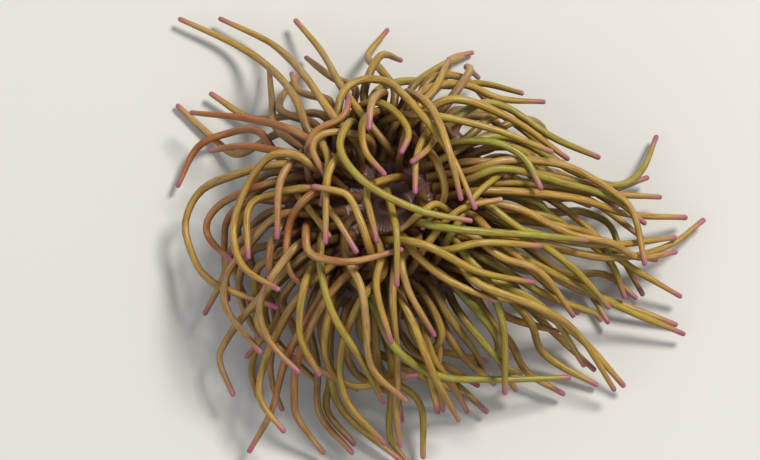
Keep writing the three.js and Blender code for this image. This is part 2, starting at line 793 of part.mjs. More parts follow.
// The sole, the column, the collar and the oral disc stand on one another.
function addBody() {
  const sole = [
    [0, 0],
    [SOLE_RADIUS - 1, 0],
    [SOLE_RADIUS, 1.2],
    [SOLE_RADIUS - 2.5, SOLE_HEIGHT],
    [0, SOLE_HEIGHT],
  ];
  const columnFoot = SOLE_HEIGHT + JOIN_GAP;
  const column = [
    [0, columnFoot],
    [SOLE_RADIUS - 3, columnFoot],
    [WAIST_RADIUS + 1, columnFoot + 5],
    [WAIST_RADIUS, columnFoot + 12],
    [WAIST_RADIUS + 1, COLUMN_TOP - 5],
    [WAIST_RADIUS + 3.5, COLUMN_TOP],
    [0, COLUMN_TOP],
  ];
  const collarFoot = COLUMN_TOP + JOIN_GAP;
  const collar = [
    [0, collarFoot],
    [WAIST_RADIUS + 4, collarFoot],
    [RIM_RADIUS - 2, RIM_HEIGHT - JOIN_GAP],
    [0, RIM_HEIGHT - JOIN_GAP],
  ];
  const disc = [
    [0, RIM_HEIGHT],
    [DISC_RADIUS, RIM_HEIGHT],
    [DISC_RADIUS, DISC_HEIGHT - 1],
    [DISC_RADIUS - 3, DISC_HEIGHT - 1.8],
    [0, DISC_HEIGHT - 2],
  ];
  addPart('pedal_disc', turned(sole), finishes.foot);
  addPart('column', turned(column), finishes.column);
  addPart('collar', turned(collar), finishes.column);
  addPart('oral_disc', turned(disc), finishes.disc);
  addMouth();
}

// The mouth is a slit between two raised lips.
function addMouth() {
  const lips = new THREE.TorusGeometry(2.6, 1.1, 6, 12);
  lips.scale(1.5, 0.8, 0.8);
  lips.translate(0, 0, DISC_HEIGHT - 2 + JOIN_GAP + 0.9);
  addPart('mouth', toSolid(lips), finishes.disc);
}

// The rim of the disc, from which the tentacles spring.
function rimRing() {
  return turned([
    [DISC_RADIUS + JOIN_GAP, RIM_HEIGHT],
    [RIM_RADIUS - 1.6, RIM_HEIGHT],
    [RIM_RADIUS, RIM_HEIGHT + 2],
    [RIM_RADIUS - 1, DISC_HEIGHT - 0.3],
    [DISC_RADIUS + JOIN_GAP, DISC_HEIGHT - 0.6],
    [DISC_RADIUS + JOIN_GAP, RIM_HEIGHT],
  ]);
}

// A wedge of one sector, with half of the gap to the next sector taken off each side.
function sectorWedge(sector, gap) {
  const middle = ((sector + 0.5) * FULL_TURN) / SECTORS;
  const half = FULL_TURN / SECTORS / 2;
  const reach = 2 * RIM_RADIUS;
  const tip = gap / 2 / Math.sin(half);
  const outline = new THREE.Shape([
    new THREE.Vector2(tip, 0),
    new THREE.Vector2(tip + reach * Math.cos(half), -reach * Math.sin(half)),
    new THREE.Vector2(tip + reach * Math.cos(half), reach * Math.sin(half)),
  ]);
  const wedge = new THREE.ExtrudeGeometry(outline, { depth: 60, bevelEnabled: false });
  wedge.rotateZ(middle);
  return toSolid(wedge);
}

// A long tentacle is divided into a root length, a middle length and a tip length.
function divideTentacle({ points, radii }) {
  const last = points.length - 1;
  const tangents = lineTangents(points);
  const cuts = [0, ...LENGTH_CUTS.map((part) => Math.round(last * part)), last];
  return [0, 1, 2].map((length) => {
    const from = cuts[length];
    const to = cuts[length + 1] + 1;
    const ends = [length > 0 ? JOIN_GAP / 2 : 0, length < 2 ? -JOIN_GAP / 2 : 0];
    return tentacleTube(
      points.slice(from, to),
      radii.slice(from, to),
      tangents.slice(from, to),
      ends,
    );
  });
}

// Each sector of the rim carries the tentacles that spring from it.  A root that leans over
// the rim of the next sector is cut off at the sector's edge.
function addCrown(tentacles) {
  const longest = [...tentacles]
    .filter((tentacle) => tentacle.posed)
    .sort((one, other) => other.whole - one.whole)
    .slice(0, LONG_TENTACLES);
  const rim = rimRing();
  for (let sector = 0; sector < SECTORS; sector += 1) {
    let solid = rim.intersect(sectorWedge(sector, JOIN_GAP));
    for (const tentacle of tentacles) {
      if (sectorAt(tentacle.root.azimuth) === sector) {
        const number = longest.indexOf(tentacle) + 1;
        if (number > 0) {
          const [rootLength, middle, tip] = divideTentacle(tentacle);
          const name = `tentacle_${String(number).padStart(2, '0')}`;
          solid = solid.add(rootLength);
          addPart(`${name}_middle`, aboveFloor(middle), finishes.tentacle);
          addPart(`${name}_tip`, aboveFloor(tip), finishes.tip);
        } else {
          const { points, radii } = tentacle;
          solid = solid.add(tentacleTube(points, radii, lineTangents(points)));
        }
      }
    }
    const beside = rim.subtract(sectorWedge(sector, 0));
    const name = `crown_${String(sector + 1).padStart(2, '0')}`;
    const crown = aboveFloor(solid.subtract(beside)).simplify(LEAST_DETAIL);
    addPart(name, crown, finishes.tentacle);
  }
}

const tentacles = planTentacles();
settle(tentacles);
addBody();
addCrown(tentacles);

export default model;
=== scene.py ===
# %% [markdown]
# # A snakelocks anemone
#
# The snakelocks anemone is a soft animal with a short column, a flat sole and well over a
# hundred long tentacles.  All of it is one skin, so everything here ends up as one mesh.
#
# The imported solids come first.  They give the sizes, and nothing here may leave their box.

import json
import math

import bpy
import numpy as np
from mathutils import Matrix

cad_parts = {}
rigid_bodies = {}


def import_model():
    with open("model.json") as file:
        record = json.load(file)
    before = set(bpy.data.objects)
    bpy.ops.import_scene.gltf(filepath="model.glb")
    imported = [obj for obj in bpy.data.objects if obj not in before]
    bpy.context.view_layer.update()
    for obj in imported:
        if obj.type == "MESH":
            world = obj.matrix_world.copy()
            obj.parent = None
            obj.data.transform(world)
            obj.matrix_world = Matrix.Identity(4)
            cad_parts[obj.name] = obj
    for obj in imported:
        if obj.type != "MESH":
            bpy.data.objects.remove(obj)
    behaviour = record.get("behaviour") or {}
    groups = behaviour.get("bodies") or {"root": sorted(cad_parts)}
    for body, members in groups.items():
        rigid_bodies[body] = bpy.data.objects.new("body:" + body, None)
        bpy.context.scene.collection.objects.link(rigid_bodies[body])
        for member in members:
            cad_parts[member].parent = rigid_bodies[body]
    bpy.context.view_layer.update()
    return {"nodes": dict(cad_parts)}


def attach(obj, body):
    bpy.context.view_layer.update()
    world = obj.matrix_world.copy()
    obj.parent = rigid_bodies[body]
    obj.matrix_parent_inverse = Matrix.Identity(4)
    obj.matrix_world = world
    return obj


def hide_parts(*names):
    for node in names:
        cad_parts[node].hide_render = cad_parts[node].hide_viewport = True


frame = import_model()
MM = 0.001
FULL_TURN = 2 * math.pi

# %% [markdown]
# ## The camera
#
# The animal is seen from high up, 75 degrees above the floor.  The camera stands well back
# with a long lens, so that near and far tentacles keep nearly the same size.  It is placed
# first, because every choice after it is judged through it.  Its aim is worked out from the
# middle of the oral disc, in millimetres across and up the view.

# %% Place the camera
VIEW_TILT = math.radians(75)
VIEW_DISTANCE = 1200 * MM
VIEW_WIDTH = 253.3 * MM
VIEW_ACROSS = -3.33 * MM
VIEW_UP = -8.33 * MM
SENSOR_WIDTH = 36.0
DISC_HEIGHT = 38.5

up_the_view = np.array([0, math.sin(VIEW_TILT), math.cos(VIEW_TILT)])
to_camera = np.array([0, -math.cos(VIEW_TILT), math.sin(VIEW_TILT)])
aim = np.array([VIEW_ACROSS, 0, DISC_HEIGHT * MM]) + VIEW_UP * up_the_view
bpy.ops.object.camera_add(
    location=aim + VIEW_DISTANCE * to_camera,
    rotation=(math.pi / 2 - VIEW_TILT, 0, 0),
)
camera = bpy.context.object
camera.name = "view_from_above"
camera.data.sensor_width = SENSOR_WIDTH
camera.data.lens = SENSOR_WIDTH * VIEW_DISTANCE / VIEW_WIDTH
bpy.context.scene.camera = camera
print("camera lens", round(camera.data.lens, 1), "mm")

# %% [markdown]
# ## Where the tentacles lie
#
# Seventy-five tentacles are posed, and the rest grow between them.  A posed tentacle
# is one row: how high it lies, as a part of the height of the whole mound, and the places
# that it passes, in millimetres on a drawing board that faces the camera. Curves drawn by
# hand in the viewport would do as well, but a short list of places is easier to change.

# %% Pose the tentacles that can be told apart
POSED = [
    # right side, from the top round to the bottom
    [1.00, (0, 40), (17, 46), (30, 44), (41, 35)],
    [0.95, (15, 40), (23, 52), (33, 53)],
    [0.98, (14, 34), (30, 37), (43, 36), (56, 37)],
    [1.04, (12, 30), (17, 37), (19, 44)],
    [1.06, (-13, 38), (-3, 38), (10, 30), (22, 13), (27, -3)],
    [1.02, (13, 25), (33, 20), (47, 14), (57, 12)],
    [0.97, (30, 32), (47, 25), (57, 19), (72, 16)],
    [0.93, (30, 28), (45, 22), (67, 13)],
    [1.00, (36, 22), (42, 15), (45, 8), (50, 2)],
    [0.92, (33, 24), (57, 13), (75, 6), (87, 13), (92, 24)],
    [0.85, (30, 10), (60, 8), (77, 5), (95, 6)],
    [0.90, (30, 6), (70, 2), (83, -3), (102, -4)],
    [1.00, (30, 16), (57, 13), (70, 4), (76, -2), (76, -12), (73, -23)],
    [0.95, (30, 12), (60, 6), (77, 2), (86, -8)],
    [0.85, (33, -6), (70, -13), (98, -14)],
    [0.92, (33, -10), (60, -16), (83, -17), (100, -11), (107, -4)],
    [1.04, (17, -7), (30, -8), (43, -9), (57, -13), (67, -12)],
    [0.98, (22, -9), (37, -13), (52, -13)],
    [1.03, (3, -10), (13, -12), (23, -17), (33, -23), (47, -26)],
    [1.00, (10, -13), (17, -20), (22, -25), (37, -30)],
    [0.95, (20, -20), (37, -28), (53, -28)],
    [0.95, (33, -14), (53, -25), (63, -35), (70, -43)],
    [0.97, (30, -16), (57, -30), (63, -32), (69, -36), (67, -39)],
    [0.90, (35, -8), (67, -27), (76, -38)],
    [0.85, (38, -12), (57, -22), (77, -34), (87, -38), (103, -45)],
    [0.90, (-7, -34), (3, -47), (23, -54), (43, -55), (64, -57)],
    [0.95, (25, -22), (45, -32), (57, -45), (66, -55)],
    [0.98, (30, -20), (36, -32), (36, -47), (37, -61)],
    [1.00, (10, -20), (13, -32), (13, -48)],
    [1.02, (2, -8), (3, -15), (2, -28)],
    [1.00, (-5, -18), (-4, -35), (0, -47)],
    # left side, from the top round to the bottom
    [1.09, (-14, 28), (-18, 20), (-13, 12), (2, 2), (14, -4), (27, -6)],
    [1.03, (-9, 27), (-10, 20), (-7, 14), (3, 10)],
    [1.05, (3, 30), (8, 27), (7, 20), (3, 17)],
    [1.02, (-25, 22), (-29, 17), (-26, 13), (-18, 12)],
    [1.03, (-29, 22), (-18, 26), (-16, 29), (-21, 31)],
    [1.00, (-30, 14), (-38, 16), (-48, 5), (-51, -10), (-44, -23), (-30, -31)],
    [0.92, (-36, 14), (-64, 6), (-70, -6), (-63, -19), (-47, -26), (-35, -31)],
    [0.85, (-40, 4), (-58, 0), (-63, -5), (-58, -11), (-51, -12)],
    [0.98, (-30, 4), (-44, 2), (-45, -5), (-40, -18)],
    [1.02, (-26, 2), (-33, -5), (-34, -12), (-30, -24), (-24, -27)],
    [1.04, (-20, 13), (-21, 5), (-21, -15)],
    [1.06, (-10, -12), (-9, 0), (-13, 2), (-18, -1), (-23, -4)],
    [1.04, (-26, -11), (-25, -17), (-15, -18), (-3, -16), (7, -12)],
    [0.95, (-33, -8), (-53, -20), (-53, -31), (-47, -39), (-37, -47)],
    [1.00, (-24, -12), (-23, -28), (-15, -43), (-4, -57), (-1, -68)],
    [0.95, (-25, -20), (-47, -39), (-57, -48), (-56, -58), (-52, -65)],
    [0.97, (-28, -15), (-41, -35), (-36, -52), (-27, -58)],
    [1.00, (-24, -20), (-29, -40), (-24, -52), (-23, -57)],
    [0.90, (-20, -25), (-40, -56), (-36, -67), (-17, -64)],
    [0.85, (-25, -25), (-44, -60), (-41, -70), (-33, -77)],
    [0.80, (-22, -28), (-38, -60), (-40, -73), (-48, -84)],
    [0.95, (-10, -30), (-17, -62), (-5, -77), (0, -82)],
    [0.90, (3, -30), (2, -53), (3, -65), (1, -75), (4, -85)],
    [0.80, (-15, -28), (-20, -58), (-7, -58), (8, -50)],
    # far side, swept back
    [0.95, (-20, 30), (-40, 57), (-53, 62), (-63, 67)],
    [0.90, (-24, 28), (-50, 54), (-67, 62), (-75, 66)],
    [0.90, (-30, 20), (-50, 30), (-70, 32)],
    [0.90, (-32, 16), (-50, 20), (-63, 18)],
    [0.95, (-14, 32), (-25, 56), (-34, 66)],
    [0.92, (-5, 34), (-8, 52), (0, 62)],
    # over the middle of the disc
    [1.03, (17, 23), (13, 17), (9, 13), (3, 10)],
    [1.02, (-4, 27), (-5, 22), (-4, 17), (-1, 13)],
    [1.02, (9, 15), (8, 8), (8, 0)],
    [1.00, (16, 15), (20, 8), (19, 2), (16, -4)],
    [1.02, (22, -5), (15, -6), (11, -11), (10, -18)],
    [1.03, (-8, 5), (-7, 0), (-6, -6), (-5, -13)],
    [1.00, (-20, -3), (-16, -9), (-12, -14)],
    [0.98, (-28, 2), (-25, -6), (-21, -14)],
    [1.00, (-24, 16), (-25, 7), (-23, -3)],
    [1.04, (10, 28), (16, 20), (21, 10), (25, -1), (26, -8)],
    [0.97, (25, 1), (32, 9), (39, 15)],
    [0.98, (24, -4), (30, 1), (38, 4)],
    [1.00, (-36, 8), (-36, -3), (-36, -16)],
    [0.98, (-32, -14), (-34, -20), (-30, -27)],
]
print("posed tentacles:", len(POSED))

# %% [markdown]
# The tentacles together make a mound.  Its height falls from the middle to an uneven edge,
# which the current has drawn out to the right.  A place on the drawing board becomes a place
# in space by going down the line of sight until it meets the mound.

# %% Shape the mound
MOUND_HEIGHT = 60
MOUND_EDGE = 5
MOUND_FULLNESS = 1.5
BOARD_ROUNDS = 8
MOUND_REACH = [110, 92, 72, 68, 82, 96, 86, 84, 98, 88, 76, 104]
CURRENT = math.radians(-20)


def smoothstep(value):
    inside = min(1, max(0, value))
    return inside * inside * (3 - 2 * inside)


def mound_reach(azimuth):
    place = (azimuth / FULL_TURN + 1) * len(MOUND_REACH)
    before = math.floor(place)
    share = smoothstep(place - before)
    low = MOUND_REACH[before % len(MOUND_REACH)]
    high = MOUND_REACH[(before + 1) % len(MOUND_REACH)]
    return low + (high - low) * share


def mound_height(x, y):
    part = min(1, math.hypot(x, y) / mound_reach(math.atan2(y, x)))
    return MOUND_EDGE + (MOUND_HEIGHT - MOUND_EDGE) * (1 - part * part) ** MOUND_FULLNESS


def from_board(mark, lie):
    across, up = mark
    place = np.array([across, up, 0.0])
    for _ in range(BOARD_ROUNDS):
        place[2] = lie * mound_height(place[0], place[1])
        lowered = (place[2] - DISC_HEIGHT) * math.cos(VIEW_TILT)
        place[1] = (up - lowered) / math.sin(VIEW_TILT)
    return place


print("mound over the mouth:", mound_height(0, 0), "mm")

# %% [markdown]
# ## Roots
#
# The tentacles spring from the rim of the disc in five rings, each with its own tilt.  A
# posed tentacle takes the free root that suits it best: one a little way behind its first
# place, and nearer to the mouth the higher the tentacle lies.

# %% Set out the roots
RINGS = [
    {"count": 12, "radius": 11, "tilt": 15, "lie": (0.98, 1.08), "splay": 0},
    {"count": 24, "radius": 16.5, "tilt": 25, "lie": (0.88, 1), "splay": 0.2},
    {"count": 24, "radius": 21.5, "tilt": 35, "lie": (0.75, 0.92), "splay": 0.45},
    {"count": 36, "radius": 26.5, "tilt": 45, "lie": (0.5, 0.8), "splay": 0.75},
    {"count": 48, "radius": 31.5, "tilt": 56, "lie": (0.12, 0.55), "splay": 1},
]
SECTORS = 12
ROOT_SPREAD = 0.9
ROOT_LEAN = 0.4
ROOT_DEPTH = 1.4
ROOT_LENGTH = 7


def unit(vector):
    return vector / (np.linalg.norm(vector) or 1)


def make_roots():
    roots = []
    for ring in RINGS:
        for index in range(ring["count"]):
            even = (index + 0.5) * FULL_TURN / ring["count"]
            sector = math.floor(even / FULL_TURN * SECTORS)
            middle = (sector + 0.5) * FULL_TURN / SECTORS
            azimuth = middle + ROOT_SPREAD * (even - middle)
            place = ring["radius"] * np.array([math.cos(azimuth), math.sin(azimuth)])
            roots.append({"ring": ring, "azimuth": azimuth, "place": place, "taken": False})
    return roots


def root_points(root, towards):
    tilt = math.radians(root["ring"]["tilt"])
    lean = unit(root["place"]) * math.sin(tilt) + unit(towards) * ROOT_LEAN
    rise = unit(np.array([lean[0], lean[1], math.cos(tilt)]))
    start = np.array([*root["place"], DISC_HEIGHT - ROOT_DEPTH])
    return [start, start + rise * ROOT_LENGTH]


LEAD_IN = 14
MISFIT_COST = 50
TURN_COST = 12


def best_free_root(roots, places, lie):
    ahead = unit((places[1] - places[0])[:2])
    wanted = places[0][:2] - LEAD_IN * ahead
    best = None
    least = math.inf
    for root in roots:
        to_first = unit(places[0][:2] - root["place"])
        misfit = abs(lie - sum(root["ring"]["lie"]) / 2)
        cost = np.linalg.norm(root["place"] - wanted) + MISFIT_COST * misfit
        cost += TURN_COST * (1 - to_first @ ahead)
        if not root["taken"] and cost < least:
            best = root
            least = cost
    return best


roots = make_roots()
print("roots:", len(roots))

# %% [markdown]
# A posed tentacle is a smooth curve from its root through its places.  A centripetal
# Catmull-Rom curve passes through every place and makes no loops where two are close, which
# a plain Bezier with automatic handles sometimes does.

# %% Draw the posed tentacles
CURVE_STEPS = 12
NEAREST_MARK = 9


def curve_through(places, steps):
    before = 2 * places[0] - places[1]
    after = 2 * places[-1] - places[-2]
    run = np.array([before, *places, after])
    knots = np.maximum(np.linalg.norm(np.diff(run, axis=0), axis=1), 1e-8) ** 0.5
    dense = []
    for index in range(1, len(run) - 2):
        p0, p1, p2, p3 = run[index - 1:index + 3]
        k0, k1, k2 = knots[index - 1:index + 2]
        leave = ((p1 - p0) / k0 - (p2 - p0) / (k0 + k1) + (p2 - p1) / k1) * k1
        arrive = ((p2 - p1) / k1 - (p3 - p1) / (k1 + k2) + (p3 - p2) / k2) * k1
        for t in np.arange(steps) / steps:
            bend = (-3 * p1 + 3 * p2 - 2 * leave - arrive) * t * t
            ease = (2 * p1 - 2 * p2 + leave + arrive) * t * t * t
            dense.append(p1 + leave * t + bend + ease)
    dense.append(places[-1])
    return np.array(dense)


def posed_lie(row, roots):
    lie, *marks = row
    places = [from_board(mark, lie) for mark in marks]
    root = best_free_root(roots, places, lie)
    root["taken"] = True
    first = np.linalg.norm((places[0][:2] - root["place"]))
    passed = places[1:] if first < NEAREST_MARK else places
    controls = [*root_points(root, passed[0][:2] - root["place"]), *passed]
    return {"root": root, "dense": curve_through(controls, CURVE_STEPS)}


posed = [posed_lie(row, roots) for row in POSED]
print("posed, longest curve has", max(len(lie["dense"]) for lie in posed), "points")

# %% [markdown]
# ## Growing the others
#
# The other tentacles follow their neighbours, as hair follows a comb.  Each one leaves the
# rim outwards, turns into the direction in which the posed ones lie around it, sways a
# little and curls at its tip.  A fixed seed makes every run the same.

# %% Grow the tentacles between them
GROWN_LENGTH = (0.75, 1.05)
GROWN_STEP = 3
SWAY = (0.15, 0.4)
SWAY_LENGTH = 13
SWAY_AGAINST = 0.5
CURL = 0.12
CURL_AGAINST = 1.5
CURL_START = 25
CURL_RISE = 15
LEAVE_LENGTH = 4
COMB_IN_LENGTH = 26
COMB_SOFTNESS = 30
SHARPEST_TURN = 0.2
STEEPEST_DROP = 0.75
STEEPEST_RISE = 0.3

random_state = 7


def random():
    global random_state
    random_state = (random_state * 1664525 + 1013904223) % 2**32
    return random_state / 2**32


def between(low, high):
    return low + (high - low) * random()


def make_comb(posed):
    places = []
    directions = []
    stride = CURVE_STEPS // 4
    for lie in posed:
        dense = lie["dense"][:, :2]
        for index in range(CURVE_STEPS, len(dense) - stride, stride):
            places.append(dense[index])
            directions.append(unit(dense[index + stride] - dense[index]))
    return np.array(places), np.array(directions)


def combed_direction(comb, place):
    teeth, directions = comb
    apart = ((teeth - place[:2]) ** 2).sum(axis=1) + COMB_SOFTNESS
    return unit((directions / (apart * apart)[:, None]).sum(axis=0))


def grown_lie(root, comb):
    ring = root["ring"]
    azimuth = root["azimuth"]
    reach = mound_reach(azimuth) - ring["radius"]
    length = math.hypot(reach, DISC_HEIGHT) * between(*GROWN_LENGTH)
    lie = between(*ring["lie"])
    against = (1 - math.cos(azimuth - CURRENT)) / 2
    sway_reach = between(*SWAY) + SWAY_AGAINST * against
    sway_phase = between(0, FULL_TURN)
    curl = between(-CURL, CURL) * (1 + CURL_AGAINST * against)
    outwards = np.array([math.cos(azimuth), math.sin(azimuth)])
    beside = combed_direction(comb, root["place"])
    leaving = unit(outwards * ring["splay"] + beside * (1 - ring["splay"]))
    dense = root_points(root, leaving)
    place = dense[1].copy()
    heading = math.atan2(leaving[1], leaving[0])
    travelled = ROOT_LENGTH
    while travelled < length:
        follow = smoothstep((travelled - LEAVE_LENGTH) / COMB_IN_LENGTH)
        want = combed_direction(comb, place) * follow + leaving * (1 - follow)
        sway = sway_reach * math.sin(travelled / SWAY_LENGTH + sway_phase)
        wanted = math.atan2(want[1], want[0]) + sway
        turn = math.atan2(math.sin(wanted - heading), math.cos(wanted - heading))
        heading += max(-SHARPEST_TURN, min(SHARPEST_TURN, turn))
        heading += curl * smoothstep((travelled - length + CURL_START) / CURL_RISE)
        wanted_rise = lie * mound_height(place[0], place[1]) - place[2]
        least = -STEEPEST_DROP * GROWN_STEP
        rise = max(least, min(STEEPEST_RISE * GROWN_STEP, wanted_rise))
        advance = math.sqrt(GROWN_STEP * GROWN_STEP - rise * rise)
        place += [advance * math.cos(heading), advance * math.sin(heading), rise]
        dense.append(place.copy())
        travelled += GROWN_STEP
    return {"root": root, "dense": np.array(dense)}


comb = make_comb(posed)
grown = [grown_lie(root, comb) for root in roots if not root["taken"]]
print("grown tentacles:", len(grown))

# %% [markdown]
# ## Pushing crossing tentacles apart
#
# Planned like this, tentacles pass through one another.  Real ones press and slide until
# they lie side by side.  Here each tentacle becomes a chain of a few stations with balls
# strung between them, and balls that are too close push each other apart, over hundreds of
# rounds.  Blender's own rope or soft-body simulation would do it too, but less exactly: this
# is the same rule that made the solids, so the skin comes to lie right on them.

# %% Chains of stations
THICKNESS = np.array([(0, 1.5), (0.12, 1.45), (0.45, 1.38), (0.85, 1.15), (1, 0.85)])
SPAN_LENGTH = 36
SPAN_TURN = math.radians(68)
FEWEST_SPANS = 4


def place_stations(dense):
    ahead = np.diff(dense, axis=0)
    lengths = np.linalg.norm(ahead, axis=1)
    along = ahead / lengths[:, None]
    cosines = (along[1:] * along[:-1]).sum(axis=1)
    turns = np.concatenate([[0], np.arccos(np.clip(cosines, -1, 1))])
    measure = np.concatenate([[0], np.cumsum(lengths / SPAN_LENGTH + turns / SPAN_TURN)])
    spans = max(FEWEST_SPANS, math.floor(measure[-1] + 0.5))
    wanted = measure[-1] * np.arange(spans + 1) / spans
    return np.stack([np.interp(wanted, measure, axis) for axis in dense.T], axis=1)


def make_chain(points):
    """A chain's points, the lengths of its spans, and its radius at each point."""
    lengths = np.linalg.norm(np.diff(points, axis=0), axis=1)
    travelled = np.concatenate([[0], np.cumsum(lengths)])
    radii = np.interp(travelled / travelled[-1], THICKNESS[:, 0], THICKNESS[:, 1])
    return {"points": points, "lengths": lengths, "radii": radii}


chains = [make_chain(place_stations(lie["dense"])) for lie in [*posed, *grown]]
print("stations:", sum(len(chain["points"]) for chain in chains))

# %% Balls on the chains
SAMPLE_STEP = 3
PAIR_MARGIN = 3
RIM_RADIUS = 35


def string_balls(chains):
    """One row for each ball: owner, span, point before it, share of the span, way, radius."""
    rows = []
    first = 0
    for owner, chain in enumerate(chains):
        travelled = 0
        radii = chain["radii"]
        for span, length in enumerate(chain["lengths"]):
            count = math.ceil(length / SAMPLE_STEP)
            for share in (np.arange(count) + 0.5) / count:
                radius = radii[span] * (1 - share) + radii[span + 1] * share
                rows.append((owner, span, first + span, share, travelled + length * share, radius))
            travelled += length
        first += len(chain["points"])
    owner, span, point, share, way, radius = np.array(rows).T
    return {
        "owner": owner, "span": span, "point": point.astype(int), "share": share[:, None],
        "way": way, "radius": radius,
    }


def near_pairs(balls, places, clearance):
    """Sorts the balls along X, and then compares each with the ones that follow it."""
    order = np.argsort(places[:, 0], kind="stable")
    widest = 2 * balls["radius"].max() + clearance + PAIR_MARGIN
    found = []
    for step in range(1, len(order)):
        one = order[:-step]
        other = order[step:]
        close = places[other, 0] - places[one, 0] < widest
        if not close.any():
            break
        one = one[close]
        other = other[close]
        reach = balls["radius"][one] + balls["radius"][other] + clearance + PAIR_MARGIN
        near = np.linalg.norm(places[one] - places[other], axis=1) < reach
        found.append(np.stack([one[near], other[near]]))
    one, other = np.concatenate(found, axis=1)
    same = balls["owner"][one] == balls["owner"][other]
    apart = np.abs(balls["span"][one] - balls["span"][other]) > 1
    free = np.maximum(balls["way"][one], balls["way"][other]) > ROOT_DEPTH
    kept = np.where(same, apart, free)
    return one[kept], other[kept]


print("balls:", len(string_balls(chains)["radius"]))

# %% One push
OWN_CLEARANCE = 0.3
PUSH_RATE = 1.5


def push_apart(points, rooted, balls, places, pairs, clearance):
    moves = np.zeros_like(points)
    weights = np.zeros(len(points))

    def push(which, shift):
        share = balls["share"][which]
        scale = 1 / (share**2 + (1 - share) ** 2)
        for offset, weight in ((0, scale * (1 - share)), (1, scale * share)):
            np.add.at(moves, balls["point"][which] + offset, weight * shift)
            np.add.at(weights, balls["point"][which] + offset, weight[:, 0])

    one, other = pairs
    between_them = places[one] - places[other]
    distance = np.linalg.norm(between_them, axis=1) + 1e-9
    room = np.where(balls["owner"][one] == balls["owner"][other], OWN_CLEARANCE, clearance)
    lack = balls["radius"][one] + balls["radius"][other] + room - distance
    touch = lack > 0
    shift = between_them[touch] * (lack / 2 / distance)[touch][:, None]
    push(one[touch], shift)
    push(other[touch], -shift)

    x, y, z = places.T
    distance = np.hypot(x, y) + 1e-9
    inwards = RIM_RADIUS + balls["radius"] + clearance - distance
    below = DISC_HEIGHT + balls["radius"] + clearance - z
    sunk = (balls["way"] > ROOT_LENGTH - 1) & (inwards > 0) & (below > 0)
    sideways = np.stack([x * inwards / distance, y * inwards / distance, 0 * x], axis=1)
    upwards = np.stack([0 * x, 0 * y, below], axis=1)
    shift = np.where((inwards < below)[:, None], sideways, upwards)
    which = np.flatnonzero(sunk)
    push(which, shift[which])
    moves[rooted] = 0
    points += moves * (PUSH_RATE / np.maximum(1, weights))[:, None]


# %% [markdown]
# Between pushes, every chain is drawn back to its plan, its sharp bends are eased and its
# spans get their own length again.  The pull stops before the end, so that the last rounds
# only push.

# %% Rounds of pushing
SHARPEST_BEND = math.radians(45)
EASE_RATE = 0.4
PULL_ACROSS = 0.01
PULL_UP = 0.004
KEEP_BEND = 0.3
PAIR_ROUNDS = 10
LOWEST_LIE = 0.8


def pull_to_plan(points, planned, rooted, inner):
    before = points.copy()
    rates = np.array([PULL_ACROSS, PULL_ACROSS, PULL_UP])
    points[~rooted] += rates * (planned - before)[~rooted]
    bend = (before[inner - 1] + before[inner + 1]) / 2 - before[inner]
    wanted = (planned[inner - 1] + planned[inner + 1]) / 2 - planned[inner]
    points[inner] += KEEP_BEND * (bend - wanted)


def ease_bends(points, lengths, rooted, inner):
    before = points.copy()
    both = lengths[inner - 1] + lengths[inner]
    share = (lengths[inner - 1] / both)[:, None]
    offset = before[inner - 1] * (1 - share) + before[inner + 1] * share - before[inner]
    most = SHARPEST_BEND * lengths[inner - 1] * lengths[inner] / both
    excess = np.maximum(0, 1 - most / (np.linalg.norm(offset, axis=1) + 1e-9))
    shift = EASE_RATE * excess[:, None] * offset
    points[inner] += shift
    points[inner + 1] -= shift / 2
    points[inner - 1] -= np.where(rooted[inner - 1][:, None], 0, shift / 2)


def keep_lengths(points, lengths, rooted, starts):
    along = points[starts + 1] - points[starts]
    distance = np.linalg.norm(along, axis=1) + 1e-9
    shift = along * ((distance - lengths[starts]) / distance)[:, None]
    start_share = np.where(rooted[starts], 0, 0.5)[:, None]
    points[starts] += shift * start_share
    points[starts + 1] -= shift * (1 - start_share)


def settle(chains, rounds, free_rounds, last_rounds, clearance):
    points = np.concatenate([chain["points"] for chain in chains])
    lengths = np.concatenate([[*chain["lengths"], 0] for chain in chains])
    lowest = LOWEST_LIE * np.concatenate([chain["radii"] for chain in chains])
    order = np.concatenate([np.arange(len(chain["points"])) for chain in chains])
    rooted = order == 0
    ended = lengths == 0
    inner = np.flatnonzero(~rooted & ~ended)
    planned = points.copy()
    balls = string_balls(chains)
    for turn in range(rounds):
        left = rounds - turn
        if left > free_rounds:
            pull_to_plan(points, planned, rooted, inner)
        if left > last_rounds:
            ease_bends(points, lengths, rooted, inner)
            for parity in (0, 1):
                starts = np.flatnonzero(~ended & (order % 2 == parity))
                keep_lengths(points, lengths, rooted, starts)
        before = points[balls["point"]]
        places = before + (points[balls["point"] + 1] - before) * balls["share"]
        if turn % PAIR_ROUNDS == 0:
            pairs = near_pairs(balls, places, clearance)
        push_apart(points, rooted, balls, places, pairs, clearance)
        points[:, 2] = np.maximum(points[:, 2], lowest)
    ends = np.flatnonzero(ended) + 1
    return [make_chain(part) for part in np.split(points, ends[:-1])]


CLEARANCE = 1
chains = settle(chains, rounds=600, free_rounds=250, last_rounds=60, clearance=CLEARANCE)
print("settled, highest point", round(max(c["points"][:, 2].max() for c in chains), 2), "mm")

# %% [markdown]
# A few long spans look like bent wire.  So each chain is turned into a smooth curve, divided
# again every few millimetres, and settled once more for a short while.  Now a tentacle can
# bend softly round its neighbour, and the two end up barely touching.

# %% Soften the chains
FINE_SPAN = 4
TOUCH_CLEARANCE = 0.15


